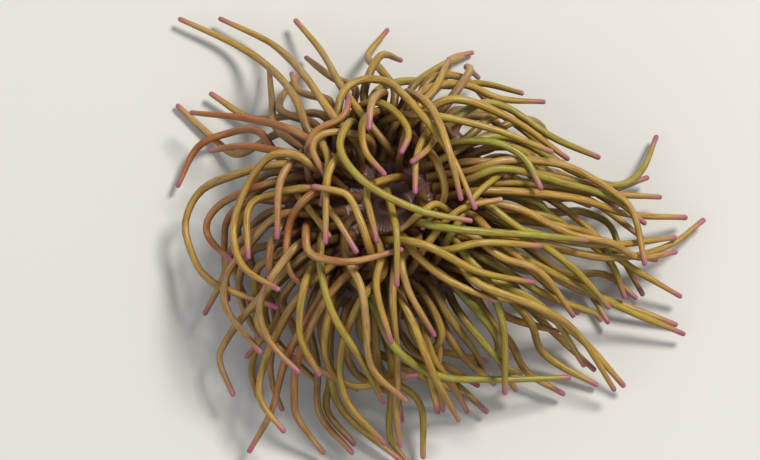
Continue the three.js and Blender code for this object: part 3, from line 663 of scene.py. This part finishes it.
def refine(chain):
    smooth = curve_through(chain["points"], CURVE_STEPS)
    lengths = np.linalg.norm(np.diff(smooth, axis=0), axis=1)
    travelled = np.concatenate([[0], np.cumsum(lengths)])
    wanted = np.linspace(0, travelled[-1], math.ceil(travelled[-1] / FINE_SPAN) + 1)
    return make_chain(np.stack([np.interp(wanted, travelled, axis) for axis in smooth.T], axis=1))


fine = [refine(chain) for chain in chains]
fine = settle(fine, rounds=90, free_rounds=40, last_rounds=6, clearance=TOUCH_CLEARANCE)
print("fine stations:", sum(len(chain["points"]) for chain in fine))

# %% [markdown]
# ## One straight tentacle
#
# All the tentacles are one shape, bent in different ways, so one is modelled straight and
# copied.  A disc is extruded ring by ring, and each ring is scaled to its radius, as one
# would do by hand.  The same tool then makes the body.  The rings stand closer together at
# the root and the tip, where the outline curves most.

# %% A stack of rings


def deselect_all():
    bpy.ops.object.select_all(action="DESELECT")


def stack_rings(name, sides, rings):
    """A closed body through rings of (radius, height), both in millimetres."""
    deselect_all()
    radius, height = rings[0]
    bpy.ops.mesh.primitive_circle_add(
        vertices=sides, radius=radius * MM, fill_type="TRIFAN", calc_uvs=False
    )
    piece = bpy.context.object
    piece.name = name
    bpy.ops.object.mode_set(mode="EDIT")
    bpy.ops.transform.translate(value=(0, 0, height * MM))
    for next_radius, next_height in rings[1:]:
        rise = (0, 0, (next_height - height) * MM)
        bpy.ops.mesh.extrude_region_move(TRANSFORM_OT_translate={"value": rise})
        scale = next_radius / radius
        middle = (0, 0, next_height * MM)
        bpy.ops.transform.resize(value=(scale, scale, 1), center_override=middle)
        radius = next_radius
        height = next_height
    bpy.ops.mesh.select_all(action="SELECT")
    bpy.ops.mesh.normals_make_consistent(inside=False)
    bpy.ops.object.mode_set(mode="OBJECT")
    return piece


def vertex_places(piece):
    """The places of a mesh's vertices, in millimetres."""
    places = np.zeros(len(piece.data.vertices) * 3)
    piece.data.vertices.foreach_get("co", places)
    return places.reshape(-1, 3) / MM


def place_vertices(piece, places):
    piece.data.vertices.foreach_set("co", (places * MM).ravel())
    piece.data.update()


# %% Model the straight tentacle
STRAIGHT_LENGTH = 100
STRAIGHT_RADIUS = 1
TENTACLE_SIDES = 10
ROOT_RINGS = [0, 0.8, 1.6, 2.6, 3.8, 5.2]
EVEN_RINGS = list(np.linspace(7.5, 94.5, 34))
TIP_RINGS = [96, 97.2, 98.2]
DOME_START = STRAIGHT_LENGTH - STRAIGHT_RADIUS
DOME_ANGLES = [0, 25, 48, 68, 84]

outline = [(STRAIGHT_RADIUS, height) for height in [*ROOT_RINGS, *EVEN_RINGS, *TIP_RINGS]]
for angle in np.radians(DOME_ANGLES):
    outline.append((STRAIGHT_RADIUS * math.cos(angle), DOME_START + math.sin(angle)))
straight = stack_rings("straight_tentacle", TENTACLE_SIDES, outline)
print("straight tentacle:", len(straight.data.polygons), "faces")

# %% [markdown]
# ## Maps on the skin
#
# The finish needs to know, at each place of the skin, how far it is from the root and from
# the tip of its tentacle.  Such numbers are kept as UV maps, because they survive when the
# pieces are joined.  There are four: a packed one for painting the exported model, one with
# the two distances, one with the tentacle's colour and the way round it, and one with two
# numbers of chance.

# %% Maps on a piece
MAPS = ("OFBake", "Run", "Kind", "Chance")


def corner_vertices(piece):
    corners = np.zeros(len(piece.data.loops), int)
    piece.data.loops.foreach_get("vertex_index", corners)
    return corners


def way_round(piece, places, corners):
    """The way round the Z axis of each corner, from 0 to 1, without a jump inside a face."""
    turn = (np.arctan2(places[:, 1], places[:, 0]) / FULL_TURN) % 1
    on_axis = np.hypot(places[:, 0], places[:, 1]) < 1e-4
    around = turn[corners]
    for face in piece.data.polygons:
        own = slice(face.loop_start, face.loop_start + face.loop_total)
        ring = ~on_axis[corners[own]]
        values = around[own]
        if np.ptp(values[ring]) > 0.5:
            values[values < 0.5] += 1
        values[~ring] = values[ring].mean()
        around[own] = values
    return around


def add_maps(piece, values):
    for name, (across, up) in values.items():
        layer = piece.data.uv_layers.new(name=name)
        pairs = np.zeros((len(piece.data.loops), 2), np.float32)
        pairs[:, 0] = across
        pairs[:, 1] = up
        layer.data.foreach_set("uv", pairs.ravel())


straight_places = vertex_places(straight)
straight_corners = corner_vertices(straight)
straight_around = way_round(straight, straight_places, straight_corners)
print("way round, from", straight_around.min(), "to", round(straight_around.max(), 2))

# %% [markdown]
# The packed map gives each tentacle an upright strip of its own.  The longest strips are
# placed first, each in the column that is least full, and the body has a band above them.

# %% Pack the strips
STRIP_COLUMNS = 34
STRIPS_TOP = 0.83
BODY_BAND = (0.842, 0.998)
STRIP_MARGIN = 0.003
STRIP_SHARE = 0.9
BODY_SHARE = 1 / 1.01


def pack_strips(lengths):
    fill = [0] * STRIP_COLUMNS
    spots = {}
    for index in sorted(range(len(lengths)), key=lambda index: -lengths[index]):
        column = min(range(STRIP_COLUMNS), key=lambda column: fill[column])
        spots[index] = (column, fill[column])
        fill[column] += lengths[index]
    return spots, max(fill)


tentacle_lengths = [chain["lengths"].sum() for chain in fine]
strip_spots, fullest = pack_strips(tentacle_lengths)
print("tentacles from", round(min(tentacle_lengths)), "to", round(max(tentacle_lengths)), "mm")
print("fullest column:", round(fullest), "mm")

# %% [markdown]
# ## Bending the copies
#
# A curve modifier would bend a tube along a curve, but it also twists and stretches it, and
# it can't swell the tip.  Here each ring of the copy is set across the line instead, with a
# frame that is carried along without twisting.  The radius follows the tentacle's taper,
# with a flare where it grows out of the disc, a soft unevenness and a slight bulb at the
# tip.  What would dip below the floor is pressed flat on it.

# %% Bend a copy along a line
FLARE = 0.45
FLARE_LENGTH = 2.0
BULB = 0.07
BULB_PLACE = 1.6
BULB_LENGTH = 1.3
BULB_AT_DOME = 0.3
LINE_STEPS = 4
UNEVEN = (0.045, 9.0)
RIPPLE = (0.025, 3.7)


def tentacle_radius(way, length, phase):
    radius = np.interp(way / length, THICKNESS[:, 0], THICKNESS[:, 1])
    radius *= 1 + FLARE * np.exp(-way / FLARE_LENGTH)
    radius *= 1 + BULB * np.exp(-(((length - way - BULB_PLACE) / BULB_LENGTH) ** 2))
    radius *= 1 + UNEVEN[0] * np.sin(way / UNEVEN[1] + phase)
    radius *= 1 + RIPPLE[0] * np.sin(way / RIPPLE[1] + 2 * phase)
    return radius


def carried_frames(line):
    along = np.gradient(line, axis=0)
    along /= np.linalg.norm(along, axis=1)[:, None]
    right = np.cross([0, 0, 1], along[0])
    frames = []
    for direction in along:
        right = unit(right - direction * (right @ direction))
        frames.append((right, np.cross(direction, right)))
    return np.array(frames)


def bent_places(chain, phase):
    """Where the straight tentacle's vertices go, and how far from the root each one lies."""
    line = curve_through(chain["points"], LINE_STEPS)
    steps = np.linalg.norm(np.diff(line, axis=0), axis=1)
    ways = np.concatenate([[0], np.cumsum(steps)])
    length = ways[-1]
    frames = carried_frames(line)
    cap = THICKNESS[-1, 1] * (1 + BULB * BULB_AT_DOME)
    height = straight_places[:, 2]
    along = height / DOME_START * (length - cap)
    way = np.where(height < DOME_START, along, length - cap + (height - DOME_START) * cap)
    radius = tentacle_radius(np.minimum(way, length - cap), length, phase)

    def on_line(values):
        return np.stack([np.interp(way, ways, axis) for axis in values.T], axis=1)

    places = on_line(line)
    places += on_line(frames[:, 0]) * (straight_places[:, 0] * radius)[:, None]
    places += on_line(frames[:, 1]) * (straight_places[:, 1] * radius)[:, None]
    places[:, 2] = np.maximum(places[:, 2], 0)
    return places, way, length


# %% [markdown]
# The colour of a tentacle is one number on a scale from orange-brown over tan and ochre to
# green.  It goes by the side of the animal on which the tentacle lies, with some chance.  The
# body has the number 0, which no tentacle has.

# %% Bend them all
SIDE_SHADES = [0.56, 0.55, 0.5, 0.4, 0.16, 0.14, 0.28, 0.3, 0.34, 0.5, 0.62, 0.6]
SHADE_SPREAD = 0.26
LEAST_SHADE = 0.02
RUN_UNIT = 100


def side_shade(points):
    """The shade for the side on which the middle of a tentacle lies."""
    x, y, _ = points[len(points) * 2 // 3]
    place = (math.atan2(y, x) / FULL_TURN + 1) * len(SIDE_SHADES)
    share = place - math.floor(place)
    low = SIDE_SHADES[math.floor(place) % len(SIDE_SHADES)]
    high = SIDE_SHADES[(math.floor(place) + 1) % len(SIDE_SHADES)]
    return low + (high - low) * share


def add_tentacle(index, chain, collection):
    piece = straight.copy()
    piece.data = straight.data.copy()
    piece.name = f"tentacle_copy_{index + 1:03d}"
    collection.objects.link(piece)
    places, way, length = bent_places(chain, between(0, FULL_TURN))
    place_vertices(piece, places)
    shade = side_shade(chain["points"]) + SHADE_SPREAD * between(-1, 1)
    column, below = strip_spots[index]
    corner_way = way[straight_corners]
    strip_width = 1 / STRIP_COLUMNS - STRIP_MARGIN
    scale = STRIPS_TOP / fullest
    up = (below + corner_way) * scale * (1 - STRIP_MARGIN) + STRIP_MARGIN / 2
    across = straight_around * strip_width * STRIP_SHARE + STRIP_MARGIN / 2
    across += column / STRIP_COLUMNS
    add_maps(piece, {
        "OFBake": (across, up),
        "Run": (corner_way / RUN_UNIT, (length - corner_way) / RUN_UNIT),
        "Kind": (min(1, max(LEAST_SHADE, shade)), straight_around),
        "Chance": (between(0, 1), between(0, 1)),
    })
    return piece


tentacle_set = bpy.data.collections.new("tentacle_set")
bpy.context.scene.collection.children.link(tentacle_set)
tentacles = [add_tentacle(index, chain, tentacle_set) for index, chain in enumerate(fine)]
print("bent tentacles:", len(tentacles))

# %% [markdown]
# ## The body
#
# The body is one turned form: the flat sole, a short column with a waist, the flared collar,
# the rim, the oral disc and the mouth.  Turning it by extrusion keeps even rings of faces,
# which the furrows and rays need.

# %% Turn the body
BODY_SIDES = 144
BODY_OUTLINE = [
    # sole
    (6, 0), (14, 0), (22, 0), (28.6, 0), (29.8, 0.5), (30.1, 1.3), (29.6, 2.3), (28.4, 3.4),
    # column
    (26.9, 4.7), (25.6, 6.4), (24.6, 8.8), (23.9, 11.6), (23.5, 14.8), (23.4, 18), (23.6, 21.2),
    (24.1, 24), (25, 26.5), (26.4, 28.7), (28.1, 30.5),
    # collar and rim
    (30, 31.9), (31.9, 33), (33.6, 34), (34.7, 35.2), (35, 36.5), (34.5, 37.7), (33.2, 38.4),
    # oral disc
    (31, 38.7), (28, 38.7), (24.5, 38.6), (21, 38.4), (17.5, 38.1), (14, 37.7), (11, 37.2),
    (9, 36.8), (7.4, 36.6), (6.2, 36.7),
    # lips and mouth
    (5.2, 37.2), (4.4, 37.8), (3.6, 38.1), (2.8, 37.9), (2.1, 37.2), (1.6, 36), (1.2, 34.5),
]
body = stack_rings("anemone_skin", BODY_SIDES, BODY_OUTLINE)
body_places = vertex_places(body)
print("body:", len(body.data.polygons), "faces, widest", body_places[:, 0].max(), "mm")

# %% [markdown]
# The column is furrowed from top to bottom, its foot spreads in soft lobes, and beads sit
# under the rim.  The disc is drawn in fine rays that run between the roots, and the lips are
# drawn out into a slit.  All of these are small moves of the vertices by a formula.  A
# sculpt brush would do it by eye, but not the same way twice.

# %% Furrows, lobes, beads and rays
FURROWS = 24
FURROW_DEPTH = 0.4
FURROW_SHARPNESS = 0.7
FURROW_MEAN = 0.75
FURROW_WANDER = 0.025
LOBE_DEPTH = 0.9
BEADS = 36
BEAD_HEIGHT = 0.7
RAYS = 48
RAY_DEPTH = 0.1
LIP_STRETCH = 0.5
LIP_NARROWING = 0.45
COLUMN_FROM = 22
DISC_FROM = 6.5
DISC_FLOOR = 36
MOUTH_FLOOR = 34
# each of these is strongest at one height or radius, and fades over so many millimetres
FURROWED = (17, 13)
LOBED = (1, 4)
BEADED = (34.2, 1.1)
RAYED = (12, 9)
LIPPED = (3, 3)


def hump(value, middle, width):
    return np.exp(-(((value - middle) / width) ** 2))


def furrowed(places):
    x, y, z = places.T
    radius = np.hypot(x, y)
    angle = np.arctan2(y, x)
    outside = (radius > COLUMN_FROM) & (z > 0.1)
    wandering = angle + FURROW_WANDER * np.sin(3 * angle + z / 9)
    grooves = np.abs(np.cos(wandering * FURROWS / 2)) ** FURROW_SHARPNESS - FURROW_MEAN
    lobes = (np.sin(5 * angle + 1) + np.sin(8 * angle)) / 2
    beads = np.maximum(0, np.cos(angle * BEADS))
    shift = FURROW_DEPTH * grooves * hump(z, *FURROWED)
    shift += LOBE_DEPTH * lobes * hump(z, *LOBED)
    shift += BEAD_HEIGHT * beads * hump(z, *BEADED)
    scale = 1 + np.where(outside, shift, 0) / np.maximum(radius, 1)
    on_disc = (z > DISC_FLOOR) & (radius > DISC_FROM)
    rays = RAY_DEPTH * np.cos(angle * RAYS) * hump(radius, *RAYED)
    lift = np.where(on_disc, rays, 0)
    slit = LIP_STRETCH * hump(radius, *LIPPED) * (z > MOUTH_FLOOR)
    wide = x * scale * (1 + slit)
    narrow = y * scale * (1 - LIP_NARROWING * slit)
    return np.stack([wide, narrow, z + lift], axis=1)


body_corners = corner_vertices(body)
body_around = way_round(body, body_places, body_corners)
run_of_outline = np.concatenate([[0], np.cumsum(np.hypot(*np.diff(BODY_OUTLINE, axis=0).T))])
ring_of_vertex = np.argmin(
    np.hypot(
        np.hypot(body_places[:, 0], body_places[:, 1])[:, None] - np.array(BODY_OUTLINE)[:, 0],
        body_places[:, 2][:, None] - np.array(BODY_OUTLINE)[:, 1],
    ),
    axis=1,
)
body_run = (run_of_outline / run_of_outline[-1])[ring_of_vertex][body_corners]
band_low, band_high = BODY_BAND
add_maps(body, {
    "OFBake": (body_around * BODY_SHARE, band_low + (band_high - band_low) * body_run),
    "Run": (0.0, 1.0),
    "Kind": (0.0, body_around),
    "Chance": (0.5, 0.5),
})
place_vertices(body, furrowed(body_places))
print("body furrowed, lowest", vertex_places(body)[:, 2].min(), "mm")

# %% [markdown]
# ## One skin
#
# The tentacles now stand in the disc with their roots inside it.  A Boolean union makes one
# closed skin of them: it cuts away what is hidden inside, and joins tentacles where they
# touch near their roots.  A voxel remesh would melt them together more softly, but it needs
# millions of faces to keep a three-millimetre tentacle round.

# %% Join everything
deselect_all()
body.select_set(True)
bpy.context.view_layer.objects.active = body
union = body.modifiers.new("union", "BOOLEAN")
union.operation = "UNION"
union.operand_type = "COLLECTION"
union.collection = tentacle_set
union.solver = "MANIFOLD"
bpy.ops.object.modifier_apply(modifier=union.name)
for piece in tentacles:
    bpy.data.objects.remove(piece)
bpy.data.objects.remove(straight)
bpy.data.collections.remove(tentacle_set)
skin = body
print("skin:", len(skin.data.polygons), "faces")

# %% [markdown]
# ## Shading by sums
#
# The finish is worked out by shader nodes.  To keep their maths readable, a small class
# stands for a number that a node gives, and the usual signs add Math nodes.  Colours go
# through Mix nodes, because a Math node would turn them grey.

# %% Numbers in a material


class Number:
    """A number from a shader node.  A sum with it adds a Math node."""

    def __init__(self, finish, socket):
        self.finish = finish
        self.socket = socket

    def maths(self, operation, *values):
        return self.finish.node("ShaderNodeMath", {"operation": operation}, values)

    def __add__(self, other):
        return self.maths("ADD", self, other)

    def __sub__(self, other):
        return self.maths("SUBTRACT", self, other)

    def __mul__(self, other):
        return self.maths("MULTIPLY", self, other)

    def __rsub__(self, other):
        return self.maths("SUBTRACT", other, self)

    __radd__ = __add__
    __rmul__ = __mul__

    def sine(self):
        return self.maths("SINE", self)

    def cosine(self):
        return self.maths("COSINE", self)

    def clipped(self):
        return self.maths("MAXIMUM", self.maths("MINIMUM", self, 1), 0)

    def ramp(self, low, high):
        """0 below low, 1 above high, and smooth between them."""
        settings = {"interpolation_type": "SMOOTHSTEP"}
        return self.finish.node("ShaderNodeMapRange", settings, [self, low, high])


class Finish:
    """A material, the nodes that are added to it, and its Principled surface."""

    def __init__(self, name):
        self.material = bpy.data.materials.new(name)
        self.material.use_nodes = True
        self.tree = self.material.node_tree
        self.surface = self.tree.nodes["Principled BSDF"]

    def node(self, kind, settings=None, values=(), output=0):
        """Adds a node, sets it, and then fills its sockets by their order or their name."""
        added = self.tree.nodes.new(kind)
        for name, setting in (settings or {}).items():
            if name == "stops":
                self.set_stops(added.color_ramp, setting)
            else:
                setattr(added, name, setting)
        named = values.items() if isinstance(values, dict) else enumerate(values)
        for name, value in named:
            self.fill(added.inputs[name], value)
        return Number(self, added.outputs[output])

    def set_stops(self, ramp, stops):
        while len(ramp.elements) < len(stops):
            ramp.elements.new(1)
        for element, (place, colour) in zip(ramp.elements, stops):
            element.position = place
            element.color = colour

    def fill(self, socket, value):
        if isinstance(value, Number):
            self.tree.links.new(value.socket, socket)
        else:
            socket.default_value = value

    def mix(self, one, other, share):
        """The colour one, turned into the colour other by share."""
        settings = {"data_type": "RGBA", "clamp_factor": True}
        return self.node("ShaderNodeMix", settings, {0: share, 6: one, 7: other}, output=2)

    def noise(self, place, scale, detail=2.0):
        settings = {"noise_dimensions": "3D"}
        values = {"Vector": place, "Scale": scale, "Detail": detail}
        return self.node("ShaderNodeTexNoise", settings, values)


def linear_light(part):
    return part / 12.92 if part <= 0.04045 else ((part + 0.055) / 1.055) ** 2.4


def paint(code):
    """A colour from its six-figure code, as linear light."""
    parts = [int(code[start:start + 2], 16) / 255 for start in (0, 2, 4)]
    return (*[linear_light(part) for part in parts], 1)


print("a middle grey is", [round(part, 3) for part in paint("808080")])

# %% [markdown]
# ## The skin's finish
#
# The flesh is soft, wet and a little translucent, and brown algae live in it.  The upper side
# of a tentacle is a clear olive or ochre, and its flanks and underside are painted darker and
# browner, which is painted shade.  The roots go down into the brown of the disc, partly as
# painted shade, and the blunt tips are pink-violet.
# Light that enters the flesh and comes out again nearby is what makes it look soft, so the
# surface has subsurface scattering.

# %% Read the maps
flesh = Finish("anemone_flesh")
place = flesh.node("ShaderNodeTexCoord", output="Object")


def map_parts(name):
    """The two numbers of a map, from the first two outputs of one node."""
    both = flesh.node("ShaderNodeUVMap", {"uv_map": name})
    first = flesh.node("ShaderNodeSeparateXYZ", values=[both])
    return first, Number(flesh, first.socket.node.outputs[1])


from_root, from_tip = map_parts("Run")
shade, around = map_parts("Kind")
chance, other_chance = map_parts("Chance")
from_root_mm = from_root * RUN_UNIT
from_tip_mm = from_tip * RUN_UNIT
print("maps read:", ", ".join(MAPS[1:]))

# %% [markdown]
# The scale of colours runs from orange-brown over tan, ochre and olive to green.  Cloudy
# noise moves each place a little along it, so that no tentacle has one flat colour.

# %% Colour of the tentacles
ORANGE_BROWN = paint("A0602C")
TAN = paint("B08F5A")
OCHRE = paint("AE8C3E")
GOLDEN_OLIVE = paint("A79036")
OLIVE = paint("8F8D34")
YELLOW_GREEN = paint("9FAC3A")

CLOUDS_PER_METRE = 110
WISPS_PER_METRE = 420
CLOUD_CHANGE = 0.4
WISP_CHANGE = 0.16

cloud = flesh.noise(place, CLOUDS_PER_METRE, 3.0)
wisp = flesh.noise(place, WISPS_PER_METRE, 3.0)
scale_place = shade + (cloud - 0.5) * CLOUD_CHANGE + (wisp - 0.5) * WISP_CHANGE
colour_scale = [
    (0.0, ORANGE_BROWN), (0.2, TAN), (0.4, OCHRE),
    (0.6, GOLDEN_OLIVE), (0.78, OLIVE), (0.96, YELLOW_GREEN),
]
flesh_colour = flesh.node("ShaderNodeValToRGB", {"stops": colour_scale}, [scale_place])
print("colours on the scale:", len(colour_scale))

# %% [markdown]
# Fine brown streaks run along each tentacle.  They are noise on a long barrel, so that they
# close round the tentacle, and each tentacle has its own stretch of it.

# %% Streaks along the tentacles
STREAK = paint("74481A")
STREAK_STRENGTH = 0.6
STREAK_EDGES = (0.45, 0.65)
STREAKS_ON_BARREL = 2.6
BARREL_SIZE = 1.3
BARREL_PER_MM = 0.07
BARREL_LENGTH = 50

turn = around * FULL_TURN
barrel = flesh.node("ShaderNodeCombineXYZ", values=[
    turn.cosine() * BARREL_SIZE,
    turn.sine() * BARREL_SIZE,
    from_root_mm * BARREL_PER_MM + chance * BARREL_LENGTH,
])
streaks = flesh.noise(barrel, STREAKS_ON_BARREL, 3.0).ramp(*STREAK_EDGES)
ridge_colour = flesh.mix(flesh_colour, STREAK, streaks * STREAK_STRENGTH)
print("streaks on a barrel", BARREL_LENGTH, "long")

# %% [markdown]
# The surface's normal tells which way it faces.  What faces up keeps its clear colour, and
# the flanks and the underside go brown in two steps.  This browning is painted shade.

# %% Painted shade on the flanks and undersides
# the two colours below are painted shade for the flanks and the underside
FLANK_SHADE_PAINT = paint("7C4A1C")
UNDERSIDE_SHADE_PAINT = paint("4A2C12")
PAINTED_SHADE_STRENGTH = 0.7

outwards = flesh.node("ShaderNodeNewGeometry", output="Normal")
upwards = flesh.node("ShaderNodeSeparateXYZ", values=[outwards], output=2)
# painted shade: darker and browner where the surface faces sideways or down
painted_flank_shade = 1 - upwards.ramp(0.1, 0.9)
painted_underside_shade = 1 - upwards.ramp(-0.9, 0.15)
shaded_tentacle_colour = flesh.mix(ridge_colour, FLANK_SHADE_PAINT, painted_flank_shade * PAINTED_SHADE_STRENGTH)
shaded_tentacle_colour = flesh.mix(shaded_tentacle_colour, UNDERSIDE_SHADE_PAINT, painted_underside_shade * PAINTED_SHADE_STRENGTH)
print("flanks are browned by", PAINTED_SHADE_STRENGTH)

# %% [markdown]
# The body is brown with a purple cast.  Pale rays run over the disc, and the column is
# streaked from foot to rim.  The roots of the tentacles take the same brown and lose it over
# their first third, so that they seem to grow out of the body.  That brown is partly their
# own colour and partly painted shade, for the dark depths of the mound among the roots.

# %% Colour of the body and roots
BODY_BROWN = paint("4C302C")
BODY_PALE = paint("7C5546")
# the root colour below is partly the roots' own brown and partly painted shade deep in the mound
ROOT_BROWN_AND_SHADE = paint("5E3C22")
ROOT_BROWN_AND_SHADE_STRENGTH = 0.85
BROWN_FROM = 3
BROWN_UNTIL = 30
RAY_CONTRAST = 0.12
CLOUD_CONTRAST = 1.2
DARKNESS = 0.3

ray = (turn * RAYS).sine()
body_share = (ray * RAY_CONTRAST + cloud * CLOUD_CONTRAST - DARKNESS).clipped()
body_colour = flesh.mix(BODY_BROWN, BODY_PALE, body_share)
# roots browner near the disc: partly their own colour, partly painted shade
root_brown_and_shade = 1 - from_root_mm.ramp(BROWN_FROM, BROWN_UNTIL)
is_body = 1 - shade.ramp(LEAST_SHADE / 4, LEAST_SHADE * 3 / 4)
grown_colour = flesh.mix(shaded_tentacle_colour, ROOT_BROWN_AND_SHADE, root_brown_and_shade * ROOT_BROWN_AND_SHADE_STRENGTH)
print("roots stay brown for", BROWN_UNTIL, "mm")

# %% [markdown]
# The tips are pink-violet.  The colour starts softly a centimetre from the end, is strongest
# near the dome, where some tentacles are a paler lilac, and differs in strength between them.

# %% Colour of the tips
TIP_PINK = paint("A66A5E")
TIP_VIOLET = paint("9A5470")
TIP_LILAC = paint("C79CBC")
BLUSH_REACH = (2, 11)
VIOLET_REACH = (1, 6)
LILAC_REACH = (0.6, 2.6)
FAINTEST_TIP = 0.4
RAGGED_BY = 4
SHORTENED_BY = 2

ragged = from_tip_mm + (wisp - 0.5) * RAGGED_BY + chance * SHORTENED_BY
blush = 1 - ragged.ramp(*BLUSH_REACH)
violet = 1 - ragged.ramp(*VIOLET_REACH)
lilac = 1 - ragged.ramp(*LILAC_REACH)
tip_strength = other_chance.ramp(0, 0.35) * (1 - FAINTEST_TIP) + FAINTEST_TIP
tipped_colour = flesh.mix(grown_colour, TIP_PINK, blush * tip_strength * 0.8)
tipped_colour = flesh.mix(tipped_colour, TIP_VIOLET, violet * tip_strength * 0.85)
tipped_colour = flesh.mix(tipped_colour, TIP_LILAC, lilac * chance.ramp(0.45, 0.9) * 0.7)
skin_colour = flesh.mix(tipped_colour, body_colour, is_body)
flesh.fill(flesh.surface.inputs["Base Color"], skin_colour)
print("tips tinted over", BLUSH_REACH[1], "mm")

# %% [markdown]
# Close up, the flesh is finely wrinkled across each tentacle, where it has drawn itself in,
# and grainy with stinging warts.  Both are far too small to model, so they are bump.

# %% Wrinkles, grain and gloss
WRINKLE_TURN_PER_MM = 7.5
WRINKLE_WAVER = 9
GRAINS_PER_METRE = 2600
RELIEF = {"Strength": 0.35, "Distance": 0.2 * MM}
GLOSS = {
    "Coat Weight": 0.12,
    "Coat Roughness": 0.25,
    "IOR": 1.4,
    "Subsurface Weight": 0.25,
    "Subsurface Radius": (1.0, 0.7, 0.35),
    "Subsurface Scale": 1.5 * MM,
}

wrinkle = (from_root_mm * WRINKLE_TURN_PER_MM + wisp * WRINKLE_WAVER).sine()
grain = flesh.noise(place, GRAINS_PER_METRE)
relief = wrinkle * 0.25 + grain * 0.8 + wisp * 0.8
bump = flesh.node("ShaderNodeBump", None, {**RELIEF, "Height": relief})
flesh.fill(flesh.surface.inputs["Normal"], bump)
flesh.fill(flesh.surface.inputs["Roughness"], wisp * 0.2 + 0.32)
for name, value in GLOSS.items():
    flesh.fill(flesh.surface.inputs[name], value)

skin.data.materials.clear()
skin.data.materials.append(flesh.material)
deselect_all()
skin.select_set(True)
bpy.context.view_layer.objects.active = skin
bpy.ops.object.shade_smooth()
print("finish nodes:", len(flesh.tree.nodes))

# %% [markdown]
# ## The skin stands for the solids
#
# One skin replaces every solid node, so no gap between two nodes shows.

# %% Put the skin in the frame
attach(skin, "root")
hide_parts(*frame["nodes"])
print("replaced nodes:", len(frame["nodes"]))

# %% [markdown]
# ## Floor and light
#
# The model stands on a plain pale floor.  A broad soft light from the upper right, where the
# sun of a rock pool would stand, gives the tentacles their form and soft shadows; a weaker
# one fills from the left.

# %% Lay the floor
FLOOR_SIZE = 6
FLOOR_COLOUR = paint("CECCC6")
FLOOR_ROUGHNESS = 0.9
FLOOR_SHEEN = 0.1

deselect_all()
bpy.ops.mesh.primitive_plane_add(size=FLOOR_SIZE)
floor = bpy.context.object
floor.name = "studio_floor"
paper = Finish("studio_paper")
paper.fill(paper.surface.inputs["Base Color"], FLOOR_COLOUR)
paper.fill(paper.surface.inputs["Roughness"], FLOOR_ROUGHNESS)
paper.fill(paper.surface.inputs["Specular IOR Level"], FLOOR_SHEEN)
floor.data.materials.append(paper.material)
print("floor laid")

# %% Set the lights
KEY_PLACE = (1.1, 0.9, 2.0)
KEY_SIZE = 0.7
KEY_POWER = 60
KEY_COLOUR = (1, 0.97, 0.91)
FILL_PLACE = (-1.6, -1.0, 1.6)
FILL_SIZE = 2.4
FILL_POWER = 15
FILL_COLOUR = (0.9, 0.95, 1)
SKY_STRENGTH = 0.42
SKY_COLOUR = (0.95, 0.97, 1, 1)


def add_light(name, place, size, power, colour):
    deselect_all()
    bpy.ops.object.light_add(type="AREA", location=place)
    light = bpy.context.object
    light.name = name
    light.data.shape = "DISK"
    light.data.size = size
    light.data.energy = power
    light.data.color = colour
    towards = -np.array(place)
    across = math.hypot(towards[0], towards[1])
    light.rotation_euler = (
        math.atan2(across, -towards[2]), 0, math.atan2(-towards[0], towards[1]),
    )
    return light


add_light("key_light", KEY_PLACE, KEY_SIZE, KEY_POWER, KEY_COLOUR)
add_light("fill_light", FILL_PLACE, FILL_SIZE, FILL_POWER, FILL_COLOUR)
sky = bpy.data.worlds.new("studio_sky")
sky.use_nodes = True
backdrop = sky.node_tree.nodes["Background"]
backdrop.inputs["Color"].default_value = SKY_COLOUR
backdrop.inputs["Strength"].default_value = SKY_STRENGTH
bpy.context.scene.world = sky
bpy.context.scene.view_settings.view_transform = "Standard"
print("lights set")
